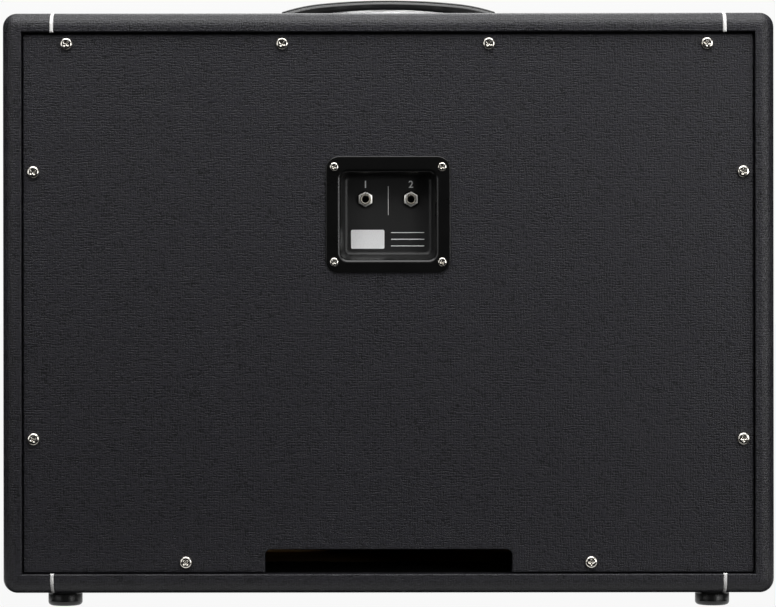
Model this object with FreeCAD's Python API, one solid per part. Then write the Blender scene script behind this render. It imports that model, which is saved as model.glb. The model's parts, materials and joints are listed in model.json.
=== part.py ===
"""Guitar speaker cabinet: a vinyl-covered plywood box with two drivers, a ported back and a strap handle.

Millimetres, +Z up. The front faces -Y and the back faces +Y. The origin is on the floor, under the middle
of the cabinet. Left is -X and right is +X, as seen from the front.
"""

import FreeCAD
import Part
import math
import os

Vec = FreeCAD.Vector
X_AXIS = Vec(1, 0, 0)
Y_AXIS = Vec(0, 1, 0)
Z_AXIS = Vec(0, 0, 1)
SIDES = (-1, 1)

# Cabinet shell
cabinet_width = 690.0
cabinet_height = 519.0
cabinet_depth = 300.0
wall = 16.0
vinyl = 0.8
edge_radius = 12.7
rim_radius = 1.3
finger_count = 11
overrun = 5.0
alignment_share = 0.999

# White piping in the seams of the covering
seam_inset = 44.6
piping_diameter = 3.7
piping_proud = 0.5
piping_tip = 1.4
piping_tip_round = 1.5

# Rubber feet
foot_diameter = 31.0
foot_height = 15.0
foot_round = 3.4
foot_side_inset = 50.8
foot_end_inset = 55.0
foot_recess_diameter = 19.0
foot_recess_depth = 7.0
foot_washer_diameter = 17.0
foot_washer_thickness = 1.4
foot_screw_head_diameter = 9.5
foot_screw_head_height = 3.4
foot_screw_diameter = 4.8
foot_screw_length = 22.0
foot_screw_point = 5.0

# Back panel, its port and the cleats that carry it
back_ply = 12.0
back_recess = 4.5
back_side_gap = 0.8
back_top_gap = 1.6
back_bottom_gap = 0.9
back_edge_round = 1.3
port_width = 221.0
port_height = 20.8
port_corner = 5.5
back_cleat = 18.0
port_cleat_gap = 14.0
panel_screw_inset = 11.0
panel_screw_head_diameter = 11.5
panel_screw_head_height = 3.2
panel_screw_diameter = 4.0
panel_screw_length = 27.0
panel_screw_point = 6.0
top_screw_shares = (-0.870, -0.275, 0.289, 0.878)
bottom_screw_shares = (-0.553, 0.553)
side_screw_shares = (-0.502, 0.484)

# Cross recess and hole clearance shared by the screws
recess_width_share = 0.14
recess_length_share = 0.52
recess_depth_share = 0.55
head_crown_shares = (0.74, 0.66)
screw_clearance = 0.15

# Recessed jack dish
dish_width = 111.5
dish_height = 104.2
dish_corner = 12.0
dish_flange = 2.0
dish_edge_round = 0.9
dish_mouth_width = 89.0
dish_mouth_height = 82.0
dish_mouth_corner = 8.0
dish_mouth_drop = 1.5
dish_lip_round = 3.6
dish_floor_round = 4.0
dish_depth = 24.0
dish_draft = 3.0
dish_wall = 2.0
dish_rise = 338.5
dish_cutout_gap = 1.5
dish_screw_spacing_x = 96.5
dish_screw_spacing_z = 85.0
dish_screw_head_diameter = 8.2
dish_screw_head_height = 2.0
dish_screw_diameter = 3.2
dish_screw_length = 13.0
dish_screw_point = 4.0

# Jacks in the dish
jack_spacing = 41.0
jack_rise = 14.3
jack_bore_diameter = 6.4
jack_bush_diameter = 9.4
jack_bush_proud = 1.2
jack_bush_chamfer = 0.65
jack_hole_gap = 0.2
jack_nut_flats = 12.0
jack_nut_thickness = 2.4
jack_washer_diameter = 15.5
jack_washer_thickness = 0.8
jack_plate = 15.0
jack_sheet = 1.4
jack_arm_length = 18.0
jack_arm_width = 9.0
jack_stack_length = 9.0
jack_stack_height = 4.2
jack_tag_width = 4.0
jack_tag_thickness = 0.6
jack_tag_height = 9.0
tag_shares = {-1: 0.78, 1: 0.22}
contact_width = 5.0
contact_thickness = 0.5
contact_root_diameter = 1.8
contact_root_gap = 0.25
contact_reach = 17.0
contact_tip_offset = 2.5
contact_tip_rise = 1.5
contact_nose_share = 0.30

# Strap handle
grip_width = 30.0
grip_pad_width = 19.0
grip_thickness = 7.2
grip_end_thickness = 6.0
grip_gap = 14.8
grip_end_gap = 3.0
grip_cap_gap = 21.0
grip_knee_share = 0.6
grip_knee_drop = 3.2
grip_round_share = 0.43
grip_pad_thickness = 2.2
grip_pad_inset = 6.0
grip_pad_round_share = 0.5
cap_length = 36.0
cap_width = 36.0
cap_height = 11.0
cap_round = 3.0
cap_corner = 8.0
cap_spacing = 290.0
cap_floor = 2.0
tongue_width = 22.0
tongue_thickness = 3.6
tongue_gap = 0.3
tongue_end_gap = 6.0
tongue_bend = 8.0
tongue_slot_length = 16.0
slot_round_share = 0.99
handle_bolt_diameter = 5.0
handle_bolt_head_diameter = 9.5
handle_bolt_head_height = 3.0
handle_bolt_length = 30.0
tee_nut_flange_diameter = 19.0
tee_nut_flange = 1.4
tee_nut_barrel_diameter = 7.4
tee_nut_barrel_length = 9.0

# Grille in the front opening
grille_recess = 5.0
grille_gap = 1.2
cloth_thickness = 0.9
grille_rail = 28.0
grille_frame_thickness = 9.0
grille_pad_thickness = 4.0
grille_pad_length = 40.0
grille_pad_width = 20.0
grille_pad_gap = 4.0
grille_piping_diameter = 3.7
grille_piping_corner = 6.0

# Baffle board and its cleats
baffle_ply = 16.0
baffle_gap = 0.3
baffle_cleat_width = 12.0
baffle_cleat_depth = 20.0
baffle_screw_head_diameter = 8.0
baffle_screw_head_height = 2.6
baffle_screw_diameter = 4.0
baffle_screw_length = 30.0
baffle_screw_point = 6.0
baffle_screw_shares = (-0.85, -0.3, 0.3, 0.85)

# Driver chassis
driver_gap = 12.0
driver_cleat_gap = 2.2
driver_hole_inset = 12.5
chassis_sheet = 1.5
chassis_depth = 86.0
chassis_flange_width = 17.5
chassis_step_depth = 12.0
chassis_step_draft = 3.0
chassis_ledge_depth = 62.0
chassis_ledge_width = 14.0
chassis_neck_draft = 4.0
chassis_neck_diameter = 108.0
chassis_throat_gap = 2.9
chassis_bolt_inset = 6.0
chassis_bolt_count = 4
chassis_bolt_angle = 45.0
window_count = 6
window_angle = 44.0
window_rim_margin = 10.1
window_ledge_margin = 9.5
window_cut_depth = 6.0
driver_bolt_diameter = 5.0
driver_bolt_head_diameter = 10.0
driver_bolt_head_height = 3.0
driver_bolt_hole_gap = 0.25
driver_nut_flats = 8.0
driver_nut_thickness = 4.0
driver_bolt_proud = 2.0
gasket_thickness = 3.0
gasket_width = 11.0

# Driver moving parts
surround_land = 5.0
surround_land_gap = 0.3
surround_width = 11.0
surround_sheet = 0.7
surround_wave = 1.1
surround_wave_count = 5
cone_sheet = 0.8
cone_depth = 54.7
cap_diameter = 72.0
cap_rise = 12.0
cap_sheet = 0.5
coil_inner_diameter = 44.8
former_sheet = 0.25
winding_sheet = 0.45
winding_length = 12.0
former_front = 1.5
former_tail = 4.0
spider_sheet = 0.5
spider_ledge_gap = 1.0
spider_wave = 1.5
spider_wave_count = 9
wave_crest_shares = (0.28, 0.72)

# Driver motor
motor_gap = 0.35
plate_diameter = 140.0
plate_thickness = 8.0
magnet_diameter = 156.0
magnet_bore = 80.0
magnet_thickness = 20.0
pole_proud = 1.0
pole_vent_diameter = 16.0

# Driver terminals
terminal_angles = {-1: 45.0, 1: 135.0}
terminal_width = 26.0
terminal_length = 30.0
terminal_sheet = 1.6
terminal_overlap = 11.0
lug_spacing = 14.0
lug_width = 5.0
lug_length = 12.0
lug_sheet = 0.8
lug_inset = 5.0
tinsel_diameter = 1.4
tinsel_inset = 8.0
tinsel_run = 13.0
tinsel_land_share = 0.36

# Wiring
wire_diameter = 2.4
bend_share = 0.45
wire_start_run = 26.0
wire_end_run = 26.0
wire_sag = 9.0
wire_pair_gap = 6.0
wire_middle_share = 0.5
jumper_rise = 28.0

# Levels and planes that follow from the sizes above
base_z = foot_height
top_z = base_z + cabinet_height
middle_z = base_z + cabinet_height / 2
rear_y = cabinet_depth / 2
front_y = -cabinet_depth / 2
rim = wall + 2 * vinyl
opening_width = cabinet_width - 2 * rim
opening_height = cabinet_height - 2 * rim
inner_width = opening_width + 2 * vinyl
inner_height = opening_height + 2 * vinyl
inner_bottom_z = middle_z - inner_height / 2
inner_top_z = middle_z + inner_height / 2
back_face_y = rear_y - back_recess
back_seat_y = back_face_y - vinyl - back_ply
cloth_y = front_y + grille_recess
grille_frame_y = cloth_y + cloth_thickness
grille_pad_y = grille_frame_y + grille_frame_thickness
baffle_front_y = grille_pad_y + grille_pad_thickness
baffle_rear_y = baffle_front_y + baffle_ply
seam_x = cabinet_width / 2 - seam_inset
dish_z = base_z + dish_rise
mouth_z = dish_z - dish_mouth_drop
dish_face_y = back_face_y + dish_flange
dish_floor_y = dish_face_y - dish_depth
dish_inside_y = dish_floor_y - dish_wall
jack_z = dish_z + jack_rise
grip_length = cap_spacing - cap_length - 2 * grip_cap_gap
grip_round = grip_round_share * min(grip_thickness, grip_end_thickness)
grip_pad_round = grip_pad_round_share * grip_pad_thickness
chassis_diameter = (inner_width - driver_gap) / 2 - baffle_cleat_width - driver_cleat_gap
chassis_bolt_circle = chassis_diameter - 2 * chassis_bolt_inset
driver_hole_diameter = chassis_diameter - 2 * driver_hole_inset
driver_spacing = chassis_diameter + driver_gap

# Radii and depths of a driver, about its axis and behind the baffle
coil_radius = coil_inner_diameter / 2
former_radius = coil_radius + former_sheet
winding_radius = former_radius + winding_sheet
gap_radius = winding_radius + motor_gap
chassis_radius = chassis_diameter / 2
flange_inner_radius = chassis_radius - chassis_flange_width
land_outer_radius = chassis_radius - gasket_width - surround_land_gap
land_inner_radius = land_outer_radius - surround_land
cone_radius = land_inner_radius - surround_width
cone_edge_depth = gasket_thickness - surround_sheet
cone_apex_depth = cone_edge_depth + cone_depth
throat_radius = gap_radius + chassis_throat_gap
neck_radius = chassis_neck_diameter / 2
ledge_inner_radius = neck_radius + chassis_neck_draft
ledge_outer_radius = ledge_inner_radius + chassis_ledge_width
magnet_front_depth = chassis_depth + plate_thickness
magnet_rear_depth = magnet_front_depth + magnet_thickness


# Shape helpers


def box(x0, x1, y0, y1, z0, z1):
    """Block between two corners."""
    return Part.makeBox(x1 - x0, y1 - y0, z1 - z0, Vec(x0, y0, z0))


def rod(diameter, start, end):
    """Round bar between two points."""
    return Part.makeCylinder(diameter / 2, (end - start).Length, start, end - start)


def moved(shape, x, y, z):
    """Copy of a shape at another place."""
    copy = shape.copy()
    copy.translate(Vec(x, y, z))
    return copy


def turned(shape, axis, degrees):
    """Copy of a shape turned about an axis through the origin."""
    copy = shape.copy()
    copy.rotate(Vec(0, 0, 0), axis, degrees)
    return copy


def around(shape, degrees):
    """Copy turned about the driver axis, so that +X goes to this angle from +X towards +Z."""
    return turned(shape, Y_AXIS, -degrees)


def edges_along(shape, axis):
    """Straight edges of a shape that run along an axis."""
    found = []
    for edge in shape.Edges:
        ends = edge.Vertexes
        if len(ends) == 2:
            run = ends[1].Point - ends[0].Point
            if run.Length > 0 and abs(run.normalize().dot(axis)) > alignment_share:
                found.append(edge)
    return found


def edges_on_plane(shape, axis, level):
    """Edges of a shape that lie in the plane across an axis at this level."""
    found = []
    for edge in shape.Edges:
        if all(abs(v.Point.dot(axis) - level) < Part.Precision.approximation() for v in edge.Vertexes):
            found.append(edge)
    return found


def rounded_block(x0, x1, y0, y1, z0, z1, radius, axis):
    """Block whose edges along one axis are rounded."""
    block = box(x0, x1, y0, y1, z0, z1)
    return block.makeFillet(radius, edges_along(block, axis))


def rounded_rectangle(width, height, radius, y, centre_z):
    """Wire across Y: a rectangle with round corners."""
    block = rounded_block(
        -width / 2, width / 2, y, y + overrun, centre_z - height / 2, centre_z + height / 2, radius, Y_AXIS
    )
    return Part.Wire(Part.__sortEdges__(edges_on_plane(block, Y_AXIS, y)))


def outline_edges(start, steps):
    """Edges through the points in the XY plane: a step is a point for a line, or two points for an arc."""
    edges = []
    here = Vec(start[0], start[1], 0)
    for step in steps:
        if isinstance(step[0], tuple):
            middle = Vec(step[0][0], step[0][1], 0)
            end = Vec(step[1][0], step[1][1], 0)
            edges.append(Part.Arc(here, middle, end).toShape())
        else:
            end = Vec(step[0], step[1], 0)
            edges.append(Part.LineSegment(here, end).toShape())
        here = end
    return edges


def closed_face(start, *steps):
    """Face inside an outline in the XY plane that returns to its start."""
    return Part.Face(Part.Wire(outline_edges(start, list(steps) + [start])))


def lathe(face, degrees=360):
    """Turns a face about the Y axis."""
    return face.revolve(Vec(0, 0, 0), Y_AXIS, degrees)


def sheet_lathe(thickness, start, *steps):
    """Turned sheet: a line of radius and depth, with its thickness towards +Y."""
    near = outline_edges(start, steps)
    far = [moved(edge, 0, thickness, 0) for edge in near]
    first = Vec(start[0], start[1], 0)
    last = steps[-1][1] if isinstance(steps[-1][0], tuple) else steps[-1]
    last = Vec(last[0], last[1], 0)
    shift = Vec(0, thickness, 0)
    ends = [
        Part.LineSegment(first, first + shift).toShape(),
        Part.LineSegment(last, last + shift).toShape(),
    ]
    return lathe(Part.Face(Part.Wire(Part.__sortEdges__(near + far + ends))))


def wave_steps(start_radius, end_radius, depth, height, count):
    """Line steps of a corrugated sheet with flat crests, alternately in front of and behind a depth."""
    pitch = (end_radius - start_radius) / count
    steps = []
    for i in range(count):
        side = 1 if i % 2 else -1
        for share in wave_crest_shares:
            steps.append((start_radius + (i + share) * pitch, depth + side * height))
        steps.append((start_radius + (i + 1) * pitch, depth))
    return steps


def pressed_sheet(points, thickness):
    """Closed outline of mitred sheet metal along the points, with its thickness on the right of travel."""
    normals = []
    for a, b in zip(points, points[1:]):
        run = math.hypot(b[0] - a[0], b[1] - a[1])
        normals.append(((b[1] - a[1]) / run, (a[0] - b[0]) / run))
    far = []
    for i, point in enumerate(points):
        before = normals[max(i - 1, 0)]
        after = normals[min(i, len(normals) - 1)]
        reach = thickness / (1 + before[0] * after[0] + before[1] * after[1])
        far.append((point[0] + (before[0] + after[0]) * reach, point[1] + (before[1] + after[1]) * reach))
    return list(points) + far[::-1]


def rounded_path(points):
    """Straight runs joined by tangent arcs as large as the runs allow. Returns the wire and the radii."""
    edges = []
    radii = []
    here = points[0]
    for before, corner, after in zip(points, points[1:], points[2:]):
        back = before - corner
        ahead = after - corner
        tangent = bend_share * min(back.Length, ahead.Length)
        half_turn = (math.pi - back.getAngle(ahead)) / 2
        radii.append(tangent / math.tan(half_turn))
        back.normalize()
        ahead.normalize()
        arc_start = corner + back * tangent
        arc_end = corner + ahead * tangent
        inward = (back + ahead).normalize()
        crest = corner + inward * (radii[-1] / math.cos(half_turn) - radii[-1])
        edges.append(Part.LineSegment(here, arc_start).toShape())
        edges.append(Part.Arc(arc_start, crest, arc_end).toShape())
        here = arc_end
    edges.append(Part.LineSegment(here, points[-1]).toShape())
    return Part.Wire(edges), radii


def tube_on(wire, diameter, start, direction):
    """Round tube swept along a wire."""
    ring = Part.Wire(Part.makeCircle(diameter / 2, start, direction))
    return wire.makePipeShell([ring], True, False)


def wire_tube(name, points, diameter):
    """Round wire through the points. Prints its length, bend radii and volume over section times length."""
    wire, radii = rounded_path(points)
    tube = tube_on(wire, diameter, points[0], points[1] - points[0])
    expected = math.pi * diameter * diameter / 4 * wire.Length
    print(name, "length", round(wire.Length, 1), "radii", [round(r, 1) for r in radii],
          "volume share", round(tube.Volume / expected, 4))
    return tube


def screw(head_diameter, head_height, shank_diameter, length, point):
    """Domed cross-head screw along Y: seat at zero, head towards +Y, point towards -Y."""
    head_radius = head_diameter / 2
    shank_radius = shank_diameter / 2
    crown = (head_radius * head_crown_shares[0], head_height * head_crown_shares[1])
    body = lathe(closed_face(
        (0, head_height),
        (crown, (head_radius, 0)),
        (shank_radius, 0),
        (shank_radius, point - length),
        (0, -length),
    ))
    half_length = head_diameter * recess_length_share / 2
    half_width = head_diameter * recess_width_share / 2
    floor = head_height * (1 - recess_depth_share)
    for across in (X_AXIS, Z_AXIS):
        if across == X_AXIS:
            slot = box(-half_length, half_length, floor, head_height, -half_width, half_width)
        else:
            slot = box(-half_width, half_width, floor, head_height, -half_length, half_length)
        body = body.cut(slot)
    return body


def hex_nut(across_flats, thickness, bore):
    """Hexagon nut along Y from zero, with a corner towards +Z."""
    corner_radius = across_flats / math.sqrt(3)
    angles = [math.radians(90 + 60 * i) for i in range(7)]
    corners = [Vec(corner_radius * math.cos(a), 0, corner_radius * math.sin(a)) for a in angles]
    nut = Part.Face(Part.makePolygon(corners)).extrude(Y_AXIS * thickness)
    return nut.cut(rod(bore, Vec(0, -overrun, 0), Vec(0, thickness + overrun, 0)))


def washer(diameter, bore, thickness):
    """Flat ring along Y from zero."""
    ring = rod(diameter, Vec(0, 0, 0), Vec(0, thickness, 0))
    return ring.cut(rod(bore, Vec(0, -overrun, 0), Vec(0, thickness + overrun, 0)))


# Cabinet shell


def shell_frame(inset):
    """The open rounded frame of the cabinet, this far below its finished surface all over."""
    width = cabinet_width - 2 * inset
    depth = cabinet_depth - 2 * inset
    height = cabinet_height - 2 * inset
    block = box(-width / 2, width / 2, -depth / 2, depth / 2, middle_z - height / 2, middle_z + height / 2)
    block = block.makeFillet(edge_radius - inset, block.Edges)
    hole_width = opening_width + 2 * inset
    hole_height = opening_height + 2 * inset
    hole = box(
        -hole_width / 2, hole_width / 2, -depth, depth, middle_z - hole_height / 2, middle_z + hole_height / 2
    )
    frame = block.cut(hole)
    lips = []
    for level in (-depth / 2, depth / 2):
        for edge in edges_on_plane(frame, Y_AXIS, level):
            if edge.BoundBox.XMax <= hole_width / 2 + vinyl and edge.BoundBox.XMin >= -hole_width / 2 - vinyl:
                if edge.BoundBox.ZMax <= middle_z + hole_height / 2 + vinyl:
                    if edge.BoundBox.ZMin >= middle_z - hole_height / 2 - vinyl:
                        lips.append(edge)
    return frame.makeFillet(rim_radius - inset, lips)


def corner_fingers(parity):
    """Blocks at the four corners of the shell that belong to the fingers of one parity."""
    wood_depth = cabinet_depth - 2 * vinyl
    pitch = wood_depth / finger_count
    blocks = []
    for i in range(parity, finger_count, 2):
        y0 = -wood_depth / 2 + i * pitch
        y1 = y0 + pitch
        if i == 0:
            y0 -= overrun
        if i == finger_count - 1:
            y1 += overrun
        for side in SIDES:
            x_pair = sorted((side * inner_width / 2, side * cabinet_width / 2))
            for z_pair in ((base_z, inner_bottom_z), (inner_top_z, top_z)):
                blocks.append(box(x_pair[0], x_pair[1], y0, y1, z_pair[0], z_pair[1]))
    return blocks


def seam_tubes(proud):
    """The four piping beads over the top and the bottom, with round tips at the rear opening."""
    radius = piping_diameter / 2
    sink = radius - proud
    corner_y = rear_y - edge_radius
    corner_z = top_z - edge_radius
    bend = (edge_radius - sink) * math.sqrt(0.5)
    tubes = []
    for side in SIDES:
        x = side * seam_x
        front_foot = Vec(x, sink - rear_y, top_z - rim)
        rear_foot = Vec(x, rear_y - sink, top_z - rim - piping_tip)
        rear_edge = Vec(x, rear_y - sink, corner_z)
        rear_bend = Vec(x, corner_y + bend, corner_z + bend)
        rear_top = Vec(x, corner_y, top_z - sink)
        rear_half = [rear_foot, rear_edge, rear_bend, rear_top]
        front_half = [Vec(p.x, -p.y, p.z) for p in rear_half]
        path = Part.Wire([
            Part.LineSegment(rear_half[0], rear_half[1]).toShape(),
            Part.Arc(rear_half[1], rear_half[2], rear_half[3]).toShape(),
            Part.LineSegment(rear_half[3], front_half[3]).toShape(),
            Part.Arc(front_half[3], front_half[2], front_half[1]).toShape(),
            Part.LineSegment(front_half[1], front_foot).toShape(),
        ])
        tube = tube_on(path, piping_diameter, rear_foot, Z_AXIS)
        tube = tube.makeFillet(piping_tip_round, edges_on_plane(tube, Z_AXIS, rear_foot.z))
        tubes.append(tube)
        tubes.append(tube.mirror(Vec(0, 0, middle_z), Z_AXIS))
    return tubes


def foot_places():
    """Middle of each foot on the floor."""
    x = cabinet_width / 2 - foot_side_inset
    y = cabinet_depth / 2 - foot_end_inset
    return [(sx * x, sy * y) for sx in SIDES for sy in SIDES]


def handle_bolt_holes(diameter):
    """Bars through the top panel at the two handle bolts."""
    holes = []
    for side in SIDES:
        x = side * cap_spacing / 2
        holes.append(rod(diameter, Vec(x, 0, inner_top_z - overrun), Vec(x, 0, top_z + overrun)))
    return holes


def tee_nut_holes():
    """Bores under the top panel for the barrels of the tee nuts."""
    end_z = inner_top_z + tee_nut_barrel_length
    diameter = tee_nut_barrel_diameter + 2 * screw_clearance
    holes = []
    for side in SIDES:
        x = side * cap_spacing / 2
        holes.append(rod(diameter, Vec(x, 0, inner_top_z - overrun), Vec(x, 0, end_z)))
    return holes


def foot_screw_holes():
    """Pilot holes for the foot screws, with their bottoms just past the screw points."""
    diameter = foot_screw_diameter + 2 * screw_clearance
    end_z = foot_recess_depth + foot_screw_length
    return [rod(diameter, Vec(x, y, base_z - overrun), Vec(x, y, end_z)) for x, y in foot_places()]


def shell_panels():
    """Top, bottom and side panels, finger-jointed at the corners."""
    wood = shell_frame(vinyl)
    grooves = seam_tubes(piping_proud)
    side_fingers = corner_fingers(0)
    cap_fingers = corner_fingers(1)
    half_width = cabinet_width / 2
    panels = {}
    for name, side in (("left_side_panel", -1), ("right_side_panel", 1)):
        x_pair = sorted((side * inner_width / 2, side * half_width))
        slab = box(x_pair[0], x_pair[1], front_y, rear_y, base_z, top_z)
        panels[name] = wood.common(slab).cut(cap_fingers)
    top = wood.common(box(-half_width, half_width, front_y, rear_y, inner_top_z, top_z))
    top_holes = handle_bolt_holes(handle_bolt_diameter + 2 * screw_clearance) + tee_nut_holes()
    panels["top_panel"] = top.cut(side_fingers + grooves + top_holes)
    bottom = wood.common(box(-half_width, half_width, front_y, rear_y, base_z, inner_bottom_z))
    panels["bottom_panel"] = bottom.cut(side_fingers + grooves + foot_screw_holes())
    return panels


def shell_coverings():
    """Vinyl on the shell: one piece per face, turned round the rims and meeting at the piping."""
    skin = shell_frame(0).cut(shell_frame(vinyl))
    bare_inside = box(
        -inner_width / 2, inner_width / 2, baffle_front_y, back_seat_y, inner_bottom_z, inner_top_z
    )
    skin = skin.cut(bare_inside)
    seam_outer = seam_x + piping_diameter / 2
    seam_inner = seam_x - piping_diameter / 2
    half_width = cabinet_width / 2
    pieces = {
        "left_covering": skin.common(box(-half_width, -seam_outer, front_y, rear_y, base_z, top_z)),
        "right_covering": skin.common(box(seam_outer, half_width, front_y, rear_y, base_z, top_z)),
        "top_covering": skin.common(box(-seam_inner, seam_inner, front_y, rear_y, middle_z, top_z)),
        "bottom_covering": skin.common(box(-seam_inner, seam_inner, front_y, rear_y, base_z, middle_z)),
    }
    pieces["top_covering"] = pieces["top_covering"].cut(
        handle_bolt_holes(handle_bolt_diameter + 2 * screw_clearance)
    )
    pieces["bottom_covering"] = pieces["bottom_covering"].cut(foot_screw_holes())
    return pieces


def seam_piping():
    """White beads in the seams, trimmed round the rims of the two openings."""
    envelope = shell_frame(-piping_proud)
    return [tube.common(envelope) for tube in seam_tubes(piping_proud)]


# Feet


def rubber_feet():
    """Round feet with a recess for the screw and washer, pressed over the piping under the cabinet."""
    foot = rod(foot_diameter, Vec(0, 0, 0), Vec(0, 0, foot_height))
    foot = foot.makeFillet(foot_round, edges_on_plane(foot, Z_AXIS, 0))
    foot = foot.cut(rod(foot_recess_diameter, Vec(0, 0, -overrun), Vec(0, 0, foot_recess_depth)))
    hole = foot_screw_diameter + 2 * screw_clearance
    foot = foot.cut(rod(hole, Vec(0, 0, 0), Vec(0, 0, foot_height + overrun)))
    beads = seam_tubes(piping_proud)
    return [moved(foot, x, y, 0).cut(beads) for x, y in foot_places()]


def foot_fasteners():
    """A washer and a screw for each foot."""
    ring = washer(foot_washer_diameter, foot_screw_diameter + 2 * screw_clearance, foot_washer_thickness)
    ring = turned(ring, X_AXIS, -90)
    body = turned(screw(foot_screw_head_diameter, foot_screw_head_height, foot_screw_diameter,
                        foot_screw_length, foot_screw_point), X_AXIS, -90)
    seat_z = foot_recess_depth - foot_washer_thickness
    pieces = []
    for x, y in foot_places():
        pieces.append(moved(ring, x, y, foot_recess_depth))
        pieces.append(moved(body, x, y, seat_z))
    return pieces


# Back panel


def back_block(inset):
    """Back panel this far below its finished surface, with rounded edges and the port in its lower edge."""
    half_width = opening_width / 2 - back_side_gap - inset
    low_z = middle_z - opening_height / 2 + back_bottom_gap + inset
    high_z = middle_z + opening_height / 2 - back_top_gap - inset
    face_y = back_face_y - inset
    block = box(-half_width, half_width, back_seat_y, face_y, low_z, high_z)
    port_top = low_z + port_height
    half_port = port_width / 2 + inset
    port = rounded_block(-half_port, half_port, back_seat_y - overrun, face_y + overrun,
                         low_z - port_height, port_top, port_corner + inset, Y_AXIS)
    block = block.cut(port)
    return block.makeFillet(back_edge_round - inset, edges_on_plane(block, Y_AXIS, face_y))


def back_screw_places():
    """X and Z of each screw round the back panel."""
    reach_x = inner_width / 2 - panel_screw_inset
    reach_z = inner_height / 2 - panel_screw_inset
    places = [(share * opening_width / 2, middle_z + reach_z) for share in top_screw_shares]
    places += [(share * opening_width / 2, middle_z - reach_z) for share in bottom_screw_shares]
    for share in side_screw_shares:
        z = middle_z + share * opening_height / 2
        places += [(-reach_x, z), (reach_x, z)]
    return places


def back_screw_holes():
    """Holes for the back panel screws, a little deeper than their points."""
    diameter = panel_screw_diameter + 2 * screw_clearance
    end_y = back_face_y - panel_screw_length - screw_clearance
    return [rod(diameter, Vec(x, end_y, z), Vec(x, rear_y, z)) for x, z in back_screw_places()]


def dish_screw_places():
    """X and Z of the four screws of the jack dish."""
    x = dish_screw_spacing_x / 2
    z = dish_screw_spacing_z / 2
    return [(sx * x, dish_z + sz * z) for sx in SIDES for sz in SIDES]


def dish_screw_holes():
    """Holes for the jack dish screws through its flange and into the back panel."""
    diameter = dish_screw_diameter + 2 * screw_clearance
    end_y = dish_face_y - dish_screw_length - screw_clearance
    return [rod(diameter, Vec(x, end_y, z), Vec(x, rear_y, z)) for x, z in dish_screw_places()]


def dish_cutout():
    """Hole in the back panel round the body of the jack dish."""
    half_width = dish_mouth_width / 2 + dish_cutout_gap
    half_height = dish_mouth_height / 2 + dish_cutout_gap
    corner = dish_mouth_corner + dish_cutout_gap
    return rounded_block(-half_width, half_width, back_seat_y - overrun, rear_y,
                         mouth_z - half_height, mouth_z + half_height, corner, Y_AXIS)


def back_panel_pieces():
    """Plywood back and its vinyl."""
    holes = back_screw_holes() + dish_screw_holes() + [dish_cutout()]
    wood = back_block(vinyl)
    cover = back_block(0).cut(wood)
    return {"back_panel": wood.cut(holes), "back_panel_covering": cover.cut(holes)}


def back_cleats():
    """Battens in the shell that the back panel is screwed to, open at the port."""
    y0 = back_seat_y - back_cleat
    half_width = inner_width / 2
    top = box(-half_width, half_width, y0, back_seat_y, inner_top_z - back_cleat, inner_top_z)
    cleats = [top]
    for side in SIDES:
        x_pair = sorted((side * half_width, side * (half_width - back_cleat)))
        cleats.append(box(x_pair[0], x_pair[1], y0, back_seat_y, inner_bottom_z, inner_top_z - back_cleat))
        x_pair = sorted((side * (port_width / 2 + port_cleat_gap), side * (half_width - back_cleat)))
        cleats.append(box(x_pair[0], x_pair[1], y0, back_seat_y, inner_bottom_z, inner_bottom_z + back_cleat))
    return [cleat.cut(back_screw_holes()) for cleat in cleats]


def back_panel_screws():
    """Domed screws that hold the back panel."""
    body = screw(panel_screw_head_diameter, panel_screw_head_height, panel_screw_diameter,
                 panel_screw_length, panel_screw_point)
    return [moved(body, x, back_face_y, z) for x, z in back_screw_places()]


# Jack dish and jacks


def dish_body(grow, y_end):
    """Tapered block of the dish cavity, grown all round, from the flange face to a depth."""
    width = dish_mouth_width + 2 * (grow - dish_wall)
    height = dish_mouth_height + 2 * (grow - dish_wall)
    corner = dish_mouth_corner + grow - dish_wall
    mouth = rounded_rectangle(width, height, corner, dish_face_y, mouth_z)
    floor = rounded_rectangle(width - 2 * dish_draft, height - 2 * dish_draft, corner, y_end, dish_z)
    return Part.makeLoft([mouth, floor], True, True)


def jack_places():
    """Name and X of each jack."""
    return (("input", jack_spacing / 2), ("link", -jack_spacing / 2))


def jack_dish():
    """Moulded dish: a flange on the back panel round a tapered recess with two jack holes in its floor."""
    flange = rounded_block(-dish_width / 2, dish_width / 2, back_face_y, dish_face_y,
                           dish_z - dish_height / 2, dish_z + dish_height / 2, dish_corner, Y_AXIS)
    flange = flange.makeFillet(dish_edge_round, edges_on_plane(flange, Y_AXIS, dish_face_y))
    dish = flange.fuse(dish_body(dish_wall, dish_inside_y))
    cavity = dish_body(0, dish_floor_y)
    cavity = cavity.makeFillet(dish_floor_round, edges_on_plane(cavity, Y_AXIS, dish_floor_y))
    dish = dish.cut(cavity)
    lip = [
        edge for edge in edges_on_plane(dish, Y_AXIS, dish_face_y)
        if edge.BoundBox.XMax < dish_mouth_width / 2 and edge.BoundBox.XMin > -dish_mouth_width / 2
        and edge.BoundBox.ZMax < mouth_z + dish_mouth_height / 2
        and edge.BoundBox.ZMin > mouth_z - dish_mouth_height / 2
    ]
    dish = dish.makeFillet(dish_lip_round, lip)
    hole = jack_bush_diameter + 2 * jack_hole_gap
    holes = [
        rod(hole, Vec(x, dish_inside_y - overrun, jack_z), Vec(x, dish_floor_y + overrun, jack_z))
        for name, x in jack_places()
    ]
    return dish.cut(holes + dish_screw_holes())


def dish_screws():
    """Four screws of the jack dish."""
    body = screw(dish_screw_head_diameter, dish_screw_head_height, dish_screw_diameter,
                 dish_screw_length, dish_screw_point)
    return [moved(body, x, dish_face_y, z) for x, z in dish_screw_places()]


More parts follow.
